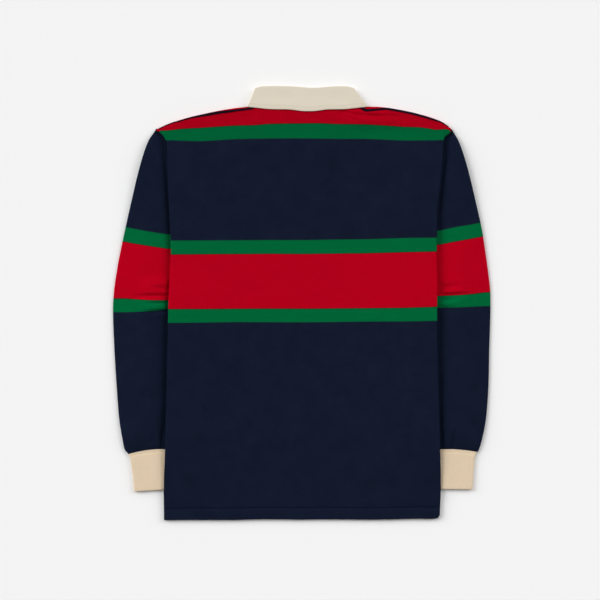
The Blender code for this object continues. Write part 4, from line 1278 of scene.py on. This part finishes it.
def sleeve_row(side, y):
    """One section of a sleeve, from the inner end of its upper ply round the outer fold to the
    inner end of its lower ply, and round the inner fold where the sleeve is closed."""
    closed = y <= UNDERARM_Y
    edge = body_edge[side](y)
    lap = sleeve_tuck(y) if closed else mix(MOUTH_LAP, TIP_LAP, ramp(y, 288, 298))
    ax, ay, by = edge - side * lap, y, y + sleeve_rise[side](y)
    bx = sleeve_edge[side](by)
    reach = math.hypot(bx - ax, by - ay)
    ux, uy = (bx - ax) / reach, (by - ay) / reach
    radius_in = SLEEVE_TOP / 2 if closed else 0.0
    start = reach - OUTER_FOLD
    bow = ramp(y, CUFF_SEAM_Y + 60, CUFF_SEAM_Y)
    spots = []

    def add(along, z, out_along, out_up, across):
        x = ax + ux * along
        at_y = ay + uy * along + seam_bow(side, x, bow)
        out = (ux * out_along, uy * out_along, out_up)
        spots.append(Spot((x, at_y, z), out, (across, sleeve_course(side, x, at_y))))

    for step in range(UPPER_STEPS + 1):
        along = mix(radius_in, start, (step / UPPER_STEPS) ** 1.1)
        add(along, sleeve_top(side, ax + ux * along, ay + uy * along), 0.0, 1.0, along)
    top = spots[-1].place[2]
    for step in range(1, FOLD_STEPS):
        angle = math.pi * step / FOLD_STEPS
        along = reach - OUTER_FOLD * (1 - math.sin(angle))
        z = top * (1 + math.cos(angle)) / 2
        add(along, z, math.sin(angle), math.cos(angle), start + OUTER_FOLD * angle)
    run = reach + OUTER_RUN + start
    end = radius_in
    if not closed:
        end = (edge - side * (armhole_inset(y) + EDGE_SEAM - SEAM_GAP) - ax) / ux
    sewn = SLEEVE_DRAWN_IN * hill(y - CUFF_SEAM_Y - SLEEVE_SEAM, SLEEVE_DRAWN_WIDTH)
    for step in range(LOWER_STEPS + 1):
        along = mix(start, end, step / LOWER_STEPS)
        crease = folded(SLEEVE_UNDER_FOLDS[side], ax + ux * along, ay + uy * along)
        ends = ramp(step, 0, 3) * ramp(step, LOWER_STEPS, LOWER_STEPS - 3)
        add(along, crease * ends + sewn, 0.0, -1.0, run - along)
    if not closed:  # the lower ply ends level with the armhole
        first = len(spots) - LOWER_STEPS - 1
        first_y = spots[first].place[1]
        for step in range(LOWER_STEPS + 1):
            x, _, z = spots[first + step].place
            place = (x, mix(first_y, y, step / LOWER_STEPS), z)
            spots[first + step] = spots[first + step]._replace(place=place, out=DOWN)
    top = spots[0].place[2]
    run -= end
    for step in range(1, FOLD_STEPS):
        angle = math.pi * step / FOLD_STEPS
        along = radius_in * (1 - math.sin(angle))
        z = top * (1 - math.cos(angle)) / 2
        add(along, z, -math.sin(angle), -math.cos(angle), run + INNER_FOLD * angle)
    spots.append(spots[0]._replace(knit=(run + INNER_RUN, spots[0].knit[1])))
    return facing(side, spots)


def facing(side, spots):
    """The spots round a tube in the order that turns the cloth's outer face outward."""
    if side < 0:
        return spots
    return [spot._replace(knit=(-spot.knit[0], spot.knit[1])) for spot in spots[::-1]]


def steps_between(start, end, step):
    """Heights from start down to end, at about one step, without the start."""
    count = round((start - end) / step)
    return [mix(start, end, number / count) for number in range(1, count + 1)]


def make_sleeve(side, word):
    """A sleeve from its armhole to the cuff seam. Above the underarm it is open to the body."""
    upper = [TIP_Y[side] - 0.3, *NEAR_TIP]
    upper += steps_between(NEAR_TIP[-1], UNDERARM_Y + FINE_ABOVE, SLEEVE_STEP)
    upper += steps_between(UNDERARM_Y + FINE_ABOVE, UNDERARM_Y, UNDERARM_STEP)
    lower = steps_between(UNDERARM_Y, UNDERARM_Y - FINE_BELOW, UNDERARM_STEP)
    lower += steps_between(UNDERARM_Y - FINE_BELOW, CUFF_SEAM_Y + 5, SLEEVE_STEP)
    lower += [CUFF_SEAM_Y + at for at in (3.6, 2.4, 1.4, 0.7, SEAM_GAP)]
    rows = [sleeve_row(side, y) for y in upper + lower]
    width = len(rows[0]) - 1

    def keep(row, column):
        step = column if side < 0 else width - 1 - column
        return step < UPPER_STEPS + LOWER_STEPS + FOLD_STEPS or row >= len(upper) - 1

    bands = chest_bands(*SLEEVE_BAND_LINES)
    material = kept_material("cotton_jersey_sleeve", knitted_jersey, bands)
    name, node, slot = f"sleeve_{word}_jersey", f"sleeve_{word}", "striped_sleeve_jersey"
    wall = in_mm("shirt_cloth", "jersey")
    piece = cloth(name, rows, wall, material, node, slot, keep, loop=True)
    sewing = sleeve_row(side, CUFF_SEAM_Y + SLEEVE_SEAM)
    return piece, [stitches(f"sleeve_{word}_end_stitches", sewing, "navy")]


def cuff_ring(side, drop, ribs, depth, count):
    """Spots round a cuff at one distance below the sleeve seam, with its ribs raised."""
    share = drop / CUFF_DROP
    y = CUFF_SEAM_Y - SEAM_GAP / 2 - drop
    edge = body_edge[side](y)
    inner_x = edge - side * cuff_tuck(drop)
    across = cuff_outline[side](drop) - inner_x
    rise = mix(sleeve_rise[side](CUFF_SEAM_Y), CUFF_TILT[side], share)
    reach = math.hypot(across, rise)
    ux, uy = across / reach, rise / reach
    top = CUFF_TOP - CUFF_SEAM_DIP * ramp(drop, 6, 0)
    radius = top / 2
    flat = reach - 2 * radius
    half_turn = math.pi * radius
    around = 2 * flat + 2 * math.pi * radius
    spots = []
    for step in range(count + 1):
        arc = around * step / count
        if arc < flat:
            along, z, turn = radius + arc, top, 0.0
        elif arc < flat + half_turn:
            turn = (arc - flat) / radius
            along, z = reach - radius + radius * math.sin(turn), radius + radius * math.cos(turn)
        elif arc < 2 * flat + half_turn:
            along, z, turn = reach - radius - (arc - flat - half_turn), 0.0, math.pi
        else:
            turn = math.pi + (arc - 2 * flat - half_turn) / radius
            along, z = radius + radius * math.sin(turn), radius + radius * math.cos(turn)
        out = (ux * math.sin(turn), uy * math.sin(turn), math.cos(turn))
        rib = depth * (0.5 - 0.5 * math.cos(2 * math.pi * ribs * step / count))
        x = inner_x + ux * along
        if out[2] > 0:
            short = max(0.0, 1 - max(0.0, side * (x - edge)) / CUFF_ROLL_WIDTH)
            z -= CUFF_ROLL * short * short * out[2]
        place = (x, y + uy * along + seam_bow(side, x, ramp(drop, 26, 0)), z)
        spots.append(Spot(moved(place, out, -rib), out, (arc, -drop)))
    return facing(side, spots)


def make_cuff(side, word):
    """A rib cuff: a tube of rib knit, folded double at its free edge and sewn to the sleeve."""
    wall = in_mm("shirt_cloth", "rib")
    ribs = round(CUFF_AROUND / in_mm("shirt_cloth", "rib_pitch"))
    fold = wall + PLY_GAP
    end = CUFF_DROP - fold

    def ring_at(drop, depth=RIB_DEPTH):
        return cuff_ring(side, drop, ribs, depth, ribs * SPOTS_A_RIB)

    rows = []
    for drop in [*NEAR_CUFF_SEAM, *(8 + (end - 8) * step / 15 for step in range(16))]:
        drawn_in = CUFF_DRAWN_IN * ramp(abs(drop - CUFF_SEWN[0]), 2.4, 0.0)
        ring = ring_at(drop, RIB_DEPTH * ramp(drop, -2, 3))
        rows.append([sunk(spot, drawn_in) for spot in ring])
    last = ring_at(end)
    for step in range(1, PLY_STEPS):
        rows.append([turned(spot, fold, math.pi * step / PLY_STEPS, fold) for spot in last])
    for drop in (end, CUFF_DROP - 4, CUFF_DROP - 10, 40.0, 20.0, 4.0, 0.6):
        rows.append([turned(spot, 0.0, math.pi, fold) for spot in ring_at(drop)])
    material = kept_material("cotton_rib", cuff_knit)
    name, node = f"cuff_{word}_rib", f"cuff_{word}"
    piece = cloth(name, rows, wall, material, node, "cuff_rib", loop=True)
    ring = cuff_ring(side, CUFF_SEWN[1], ribs, 0.0, 360)[:-1]
    seam = [sunk(spot, CUFF_STITCHES_IN) for spot in ring]
    name = f"cuff_{word}_seam_stitches"
    return piece, [stitches(name, seam, "cream", zigzag=1.2, closed=True)]


# The collar, tapes, placket and buttons


def collar_stations():
    """The collar's sections from its left front, round the back, to its right front."""
    fields = COLLAR_HALF[0]._fields
    numbered = [(number, *row) for number, row in enumerate(COLLAR_HALF)]
    rows = table(("number", *fields), numbered)
    curves = {field: through(rows, "number", field) for field in fields}
    half = []
    for number, (row, after) in enumerate(zip(COLLAR_HALF, COLLAR_HALF[1:])):
        last = after is COLLAR_HALF[-1]
        for part in range(row.parts + last):
            place = number + part / row.parts
            station = {field: curves[field](place) for field in fields}
            station["turn"] = mix(row.turn, after.turn, place - number)
            half.append(row._replace(**station))
    return [(station, -1) for station in half[:0:-1]] + [(station, 1) for station in half]


def round_the_side(radius, turn):
    """A place and its outward direction, across and up, on the way round the collar's side from
    its upper face to its lower one. The pressed edge is a rounded square."""
    corner = min(1.5, 0.9 * radius)
    level, drop = 0.9 * radius - corner, radius - corner
    arc = corner * math.pi / 2
    along = (1 - abs(turn) / (math.pi / 2)) * (level + arc + drop)
    up = 1 if turn >= 0 else -1
    if along < level:
        return along, up * radius, 0.0, up
    if along < level + arc:
        angle = (along - level) / corner
        across, rise = math.sin(angle), math.cos(angle)
        return level + corner * across, up * (drop + corner * rise), across, up * rise
    return level + corner, up * (level + arc + drop - along), 1.0, 0.0


def collar_section(station, side):
    """Spots from the neck seam up the stand, round the fold and down the fall to its free edge."""
    turn = math.radians(station.turn)
    neck_x = NECK_X + side * station.neck_x
    seam = back_neck_y(neck_x) if turn > 0 else front_neck_y(neck_x)
    neck_y = mix(NECK_SIDE_Y, seam, abs(station.turn) / 90) + SEAM_GAP / 2
    neck = Vector((neck_x - side * COLLAR_SIDE_GAP * ramp(station.neck_x, 40, 80), neck_y))
    fold = Vector((FOLD_CENTRE_X + side * station.fold_x, station.fold_y))
    edge = Vector((EDGE_CENTRE_X + side * station.edge_x, station.edge_y))
    if turn > 0:
        fold.y -= 3.0 * hill(fold.x - 21, 28)
        edge.y -= 3.3 * hill(edge.x - 12, 25, power=3)
    half = (FALL_RADIUS - STAND_RADIUS) / 2
    middle = STAND_RADIUS + half
    inset = in_mm("shirt_sewing", "collar_inset")
    stand = (fold - neck).length
    fall = (fold - edge).length
    spots = []

    def add(start, along, angle, run):
        way = (fold - start).normalized()
        plan = start + way * along
        radius = middle - half * math.cos(angle)
        reach_x, reach_z, normal_x, normal_z = round_the_side(radius, turn)
        radial = Vector((side * normal_x, 0.0, normal_z))
        if angle > 3:
            seam_in = 0.3 * hill(along - inset, 0.9) + 0.45 * ramp(along, 3.6, 0.0)
            flat = ramp(along, 8, 20) * ramp(fall - along, 6, 14)
            wave_in = 0.16 * math.sin(plan.x / 15.0 + plan.y / 22.0)
            wave_in += 0.12 * math.sin(plan.x / 7.5 - 1)
            reach_z -= (seam_in + (0.2 + wave_in) * flat) * math.sin(turn)
        place = Vector((plan.x + side * reach_x, plan.y, COLLAR_AXIS_Z + reach_z))
        out = Vector((way.x, way.y, 0.0)) * math.sin(angle) - radial * math.cos(angle)
        spots.append(Spot(tuple(place), tuple(out), (0.0, run)))

    pressed = 0.16 * half
    for step in range(12):
        along = (stand - pressed) * step / 12
        add(neck, along, 0.0, along)
    for step in range(11):
        angle = math.pi * step / 10
        start, reach = (neck, stand) if angle < math.pi / 2 else (edge, fall)
        run = stand - pressed + half * angle
        add(start, reach - pressed * (1 - math.sin(angle)), angle, run)
    run = stand - pressed + half * math.pi
    flat = fall - pressed
    alongs = [flat - 0.4]
    alongs += [flat * share for share in (0.92, 0.83, 0.73, 0.62, 0.51, 0.4, 0.3, 0.22)]
    alongs += [inset + 1.6, inset + 0.8, inset, inset - 0.8, inset - 1.6, 2.2, 1.2, 0.5, 0.0]
    for along in alongs:
        add(edge, along, math.pi, run + flat - along)
    return spots


def gap_between(a, b):
    return (Vector(a.place) - Vector(b.place)).length


def between(a, b, share):
    place = tuple(mix(one, other, share) for one, other in zip(a.place, b.place))
    return a._replace(place=place)


def make_collar():
    """The collar: one doubled piece that stands up from the neck seam and falls back over it."""
    rows = []
    across = 0.0
    for station, side in collar_stations():
        row = collar_section(station, side)
        if rows:
            across += gap_between(row[FOLD_COLUMN], rows[-1][FOLD_COLUMN])
        rows.append([spot._replace(knit=(across, spot.knit[1])) for spot in row])
    wall = in_mm("shirt_cloth", "twill")
    material = kept_material("cotton_twill", collar_twill)
    piece = cloth("collar_twill", rows, wall, material, "collar", "collar_twill")
    inset = in_mm("shirt_sewing", "collar_inset")
    ends = []
    for row, after in ((rows[0], rows[1]), (rows[-1], rows[-2])):
        share = inset / gap_between(after[SEWN_COLUMN], row[SEWN_COLUMN])
        down = zip(row[FALL_COLUMN : SEWN_COLUMN + 1], after[FALL_COLUMN : SEWN_COLUMN + 1])
        ends.append([between(a, b, share) for a, b in down])
    along_edge = [row[SEWN_COLUMN] for row in rows]
    track = ends[0]
    for spot in along_edge:
        if min(gap_between(spot, along_edge[end]) for end in (0, -1)) > inset + 0.5:
            track.append(spot)
    track += ends[1][::-1]
    return piece, [stitches("collar_stitches", track, "cream")]


def tape_spot(side, x, across):
    """A spot on a tape. It follows the body's face, and turns over the edge where it reaches it."""
    radius = shoulder_radius(x)
    depth = max(0.1, shoulder_outline(x) - tape_middle[side](x))
    off = across * tape_width[side](x)
    reach = shoulder_arc(radius, depth) - off
    quarter = radius * math.pi / 2
    depth = reach
    if reach > quarter:
        depth = radius + reach - quarter
    elif reach > 0:
        depth = radius * (1 - math.cos(reach / radius))
    return shoulder_spot(x, depth, raised=TAPE_HEIGHT)._replace(knit=(x, off))


def make_tape(side, word):
    """The tape along a shoulder seam, from the collar to the shoulder's outer end."""
    start, end = TAPES[side][0].x, TAPES[side][-1].x
    count = round(abs(end - start) / TAPE_STEP)
    xs = [mix(start, end, step / count) for step in range(count + 1)]
    rows = [[tape_spot(side, x, step / 8 - 0.5) for step in range(9)] for x in xs]
    name, node, slot = f"shoulder_{word}_tape", f"shoulder_tape_{word}", "navy_tape"
    wall = in_mm("shirt_cloth", "tape_wall")
    piece = cloth(name, rows, wall, kept_material("woven_cotton_tape", woven_tape), node, slot)
    sewn = []
    for edge, label in ((-TAPE_SEWN, "lower"), (TAPE_SEWN, "upper")):
        track = [tape_spot(side, x, edge) for x in xs]
        sewn.append(stitches(f"{name}_{label}_stitches", track, "black"))
    return piece, sewn


def placket_spot(name, across, share):
    x = NECK_X + across * PLACKET_WIDTH
    y = mix(PLACKET_BOTTOM_Y + SEAM_GAP, front_neck_y(x), share)
    lift = 0.0
    if name == "placket":
        sewn = 0.25 * hill((abs(across) - STRIP_SEWN) * PLACKET_WIDTH, 0.8)
        button = 0.12 * math.cos((y - BUTTON_Y) * math.pi / BUTTON_PITCH)
        lift = sewn + max(0.0, button * (1 - (2 * across) ** 2))
    return Spot((x, y, PLACKET_LOW[name] + lift), DOWN, (x, y))


def make_placket(name):
    """One of the placket's two strips, which close the slit of the front."""
    columns = [0.5, 0.49, 0.46, 0.44, 0.42, 0.4, 0.37, 0.3, 0.2, 0.1, 0.0]
    columns += [-across for across in columns[-2::-1]]
    rows = []
    for step in range(PLACKET_ROWS + 1):
        rows.append([placket_spot(name, across, step / PLACKET_ROWS) for across in columns])
    twill, slot = kept_material("cotton_twill", collar_twill), "collar_twill"
    piece = cloth(f"{name}_twill", rows, PLACKET_WALL, twill, name, slot)
    if name == "placket_under":
        return piece, []
    sewn = []
    for across, label in ((-STRIP_SEWN, "left"), (STRIP_SEWN, "right")):
        shares = [mix(BOX_LOW, STRIP_HIGH, step / 40) for step in range(41)]
        track = [placket_spot(name, across, share) for share in shares]
        sewn.append(stitches(f"placket_{label}_stitches", track, "cream"))
    left, right = -STRIP_SEWN, STRIP_SEWN
    corners = [(left, BOX_LOW), (right, BOX_LOW), (right, BOX_HIGH), (left, BOX_HIGH)]
    corners.append(corners[1])
    track = []
    for (across, share), (next_across, next_share) in zip(corners, corners[1:]):
        for at in (step / 8 for step in range(8)):
            place = mix(across, next_across, at), mix(share, next_share, at)
            track.append(placket_spot(name, *place))
    sewn.append(stitches("placket_box_stitches", track, "cream"))
    half_width, half_height = BUTTONHOLE
    for number in BUTTONS:
        low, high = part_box(f"button_{number}")
        middle = (low + high) / 2 / MM
        track = []
        for step in range(36):
            turn = 2 * math.pi * step / 36
            x = middle.x + half_width * math.cos(turn)
            y = middle.y + half_height * math.sin(turn)
            track.append(Spot((x, y, PLACKET_LOW[name] - 0.02), DOWN, None))
        label = f"buttonhole_{number}_stitches"
        sewn.append(stitches(label, track, "cream", zigzag=0.7, closed=True))
    return piece, sewn


def make_button(number):
    """A rubber button, face down, with a rolled rim, a dished face and four sewing holes."""
    settings = bpy.context.scene.shirt_buttons
    low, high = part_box(f"button_{number}")
    centre = (low + high) / 2
    made = bmesh.new()
    rings = []
    for radius, z in BUTTON_PROFILE:
        ring = []
        for step in range(BUTTON_SPOTS):
            turn = 2 * math.pi * step / BUTTON_SPOTS
            at = (radius * MM * math.cos(turn), radius * MM * math.sin(turn), z * MM)
            ring.append(made.verts.new(at))
        rings.append(ring)
    for a, b in zip(rings, rings[1:]):
        for step in range(BUTTON_SPOTS):
            after = (step + 1) % BUTTON_SPOTS
            made.faces.new((a[step], b[step], b[after], a[after]))
    made.faces.new(rings[0])
    made.faces.new(rings[-1][::-1])
    bmesh.ops.recalc_face_normals(made, faces=made.faces)
    rubber = kept_material("moulded_rubber", button_rubber)
    piece = placed(f"button_{number}_rubber", made, rubber)
    piece.location = (centre.x, centre.y, low.z)
    to_hole = settings.hole_circle / 2
    for way_x, way_y in ((-1, -1), (-1, 1), (1, -1), (1, 1)):
        drill(piece, way_x * to_hole, way_y * to_hole, settings.hole / 2)
    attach(piece, "root")
    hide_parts(f"button_{number}")
    middle = centre / MM
    half = settings.hole_circle / MM / 2
    track = []
    for way in (1, -1):
        for step in range(9):
            x = middle.x - way * half + way * 2 * half * step / 8
            track.append(Spot((x, middle.y + way * half, THREAD_Z), DOWN, None))
    stitches(f"button_{number}_thread", track, "cream")


def drill(piece, x, y, radius):
    """Cuts one round hole through a button."""
    made = bmesh.new()
    size = {"radius1": radius, "radius2": radius, "depth": 0.006}
    bmesh.ops.create_cone(made, cap_ends=True, segments=20, **size)
    cutter = as_object("cutter", made)
    cutter.location = piece.location + Vector((x, y, 0))
    cut = piece.modifiers.new("hole", "BOOLEAN")
    cut.operation = "DIFFERENCE"
    cut.solver = "EXACT"
    cut.object = cutter
    bpy.context.view_layer.update()
    evaluated = piece.evaluated_get(bpy.context.evaluated_depsgraph_get())
    final = bpy.data.meshes.new_from_object(evaluated)
    piece.modifiers.clear()
    piece.data = final
    bpy.data.objects.remove(cutter)


def state_sheet(flat):
    """Turns the flat cut of a piece of cloth from millimetres into metres; the result is not used.
    """
    flat = [round(side * MM, 4) for side in flat]


def make_pair(make, flat):
    """Makes a piece for the left and one for the right."""
    for side, word in SIDES.items():
        piece, sewn = make(side, word)
        state_sheet(flat)


# Operators


class MakeBody(bpy.types.Operator):
    """Makes the back and the front of the body, with their hems"""

    bl_idname = "shirt.make_body"
    bl_label = "Body"

    def execute(self, context):
        front, front_sewn = make_front()
        back, back_sewn = make_back()
        state_sheet((534, 770))
        state_sheet((536, 763))
        return {"FINISHED"}


class MakeSleeves(bpy.types.Operator):
    """Makes the two sleeves, with the creases at the underarms"""

    bl_idname = "shirt.make_sleeves"
    bl_label = "Sleeves"

    def execute(self, context):
        make_pair(make_sleeve, (288, 580))
        return {"FINISHED"}


class MakeCuffs(bpy.types.Operator):
    """Makes the two rib cuffs"""

    bl_idname = "shirt.make_cuffs"
    bl_label = "Cuffs"

    def execute(self, context):
        make_pair(make_cuff, (194, 136))
        return {"FINISHED"}


class MakeCollar(bpy.types.Operator):
    """Makes the collar, with the stitching round its free edge"""

    bl_idname = "shirt.make_collar"
    bl_label = "Collar"

    def execute(self, context):
        piece, sewn = make_collar()
        state_sheet((427, 119))
        return {"FINISHED"}


class MakeTapes(bpy.types.Operator):
    """Makes the tapes along the two shoulder seams"""

    bl_idname = "shirt.make_tapes"
    bl_label = "Shoulder tapes"

    def execute(self, context):
        make_pair(make_tape, (10, 172))
        return {"FINISHED"}


class MakePlacket(bpy.types.Operator):
    """Makes the two strips of the placket on the front"""

    bl_idname = "shirt.make_placket"
    bl_label = "Placket"

    def execute(self, context):
        for name in PLACKET_LOW:
            piece, sewn = make_placket(name)
            state_sheet((PLACKET_WIDTH, 158))
        return {"FINISHED"}


class MakeButtons(bpy.types.Operator):
    """Makes the rubber buttons of the placket"""

    bl_idname = "shirt.make_buttons"
    bl_label = "Buttons"

    def execute(self, context):
        for number in BUTTONS:
            make_button(number)
        return {"FINISHED"}


class MakeStudio(bpy.types.Operator):
    """Makes the floor, the soft lights and the camera"""

    bl_idname = "shirt.make_studio"
    bl_label = "Studio"

    def execute(self, context):
        scene = context.scene
        studio = scene.shirt_studio
        made = bmesh.new()
        bmesh.ops.create_grid(made, x_segments=8, y_segments=8, size=5.0)
        floor = as_object("studio_floor", made)
        floor.data.materials.append(kept_material("painted_board", painted_board))
        floor.location.z = -0.2 * MM
        world = bpy.data.worlds.new("studio")
        world.use_nodes = True
        sky = world.node_tree.nodes["Background"]
        sky.inputs["Color"].default_value = (1.0, 1.0, 1.0, 1.0)
        sky.inputs["Strength"].default_value = studio.sky
        scene.world = world
        for name, share, azimuth, elevation in STUDIO_LIGHTS:
            lamp = bpy.data.lights.new(name, "SUN")
            lamp.energy = studio.side_light * share
            lamp.angle = math.radians(40)
            turn = (0.0, math.radians(90 - elevation), math.radians(azimuth))
            in_scene(name, lamp).rotation_euler = turn
        lens = bpy.data.cameras.new("studio_camera")
        lens.lens = 85.0
        lens.sensor_width = 36.0
        lens.clip_start = 0.05
        scene.camera = in_scene("studio_camera", lens)
        scene.camera.location = (*CAMERA_PLACE, studio.camera_height)
        scene.view_settings.view_transform = "Standard"
        return {"FINISHED"}


GROUPS = {
    "shirt_cloth": ShirtCloth,
    "shirt_sewing": ShirtSewing,
    "shirt_buttons": ShirtButtons,
    "shirt_studio": ShirtStudio,
}
OPERATORS = [
    MakeBody,
    MakeSleeves,
    MakeCuffs,
    MakeCollar,
    MakeTapes,
    MakePlacket,
    MakeButtons,
    MakeStudio,
]


class ShirtPanel(bpy.types.Panel):
    """Lists the shirt's pieces and their settings"""

    bl_idname = "VIEW3D_PT_shirt"
    bl_label = "Rugby shirt"
    bl_space_type = "VIEW_3D"
    bl_region_type = "UI"
    bl_category = "Shirt"

    def draw(self, context):
        for operator in OPERATORS:
            self.layout.operator(operator.bl_idname)
        for group in GROUPS:
            for field in GROUPS[group].__annotations__:
                self.layout.prop(getattr(context.scene, group), field)


def register():
    for group in GROUPS:
        bpy.utils.register_class(GROUPS[group])
        setattr(bpy.types.Scene, group, bpy.props.PointerProperty(type=GROUPS[group]))
    for operator in OPERATORS:
        bpy.utils.register_class(operator)
    bpy.utils.register_class(ShirtPanel)


def unregister():
    bpy.utils.unregister_class(ShirtPanel)
    for operator in OPERATORS[::-1]:
        bpy.utils.unregister_class(operator)
    for group in GROUPS:
        delattr(bpy.types.Scene, group)
        bpy.utils.unregister_class(GROUPS[group])


def main():
    register()
    for operator in OPERATORS:
        getattr(bpy.ops.shirt, operator.bl_idname.removeprefix("shirt."))()


if __name__ == "__main__":
    main()
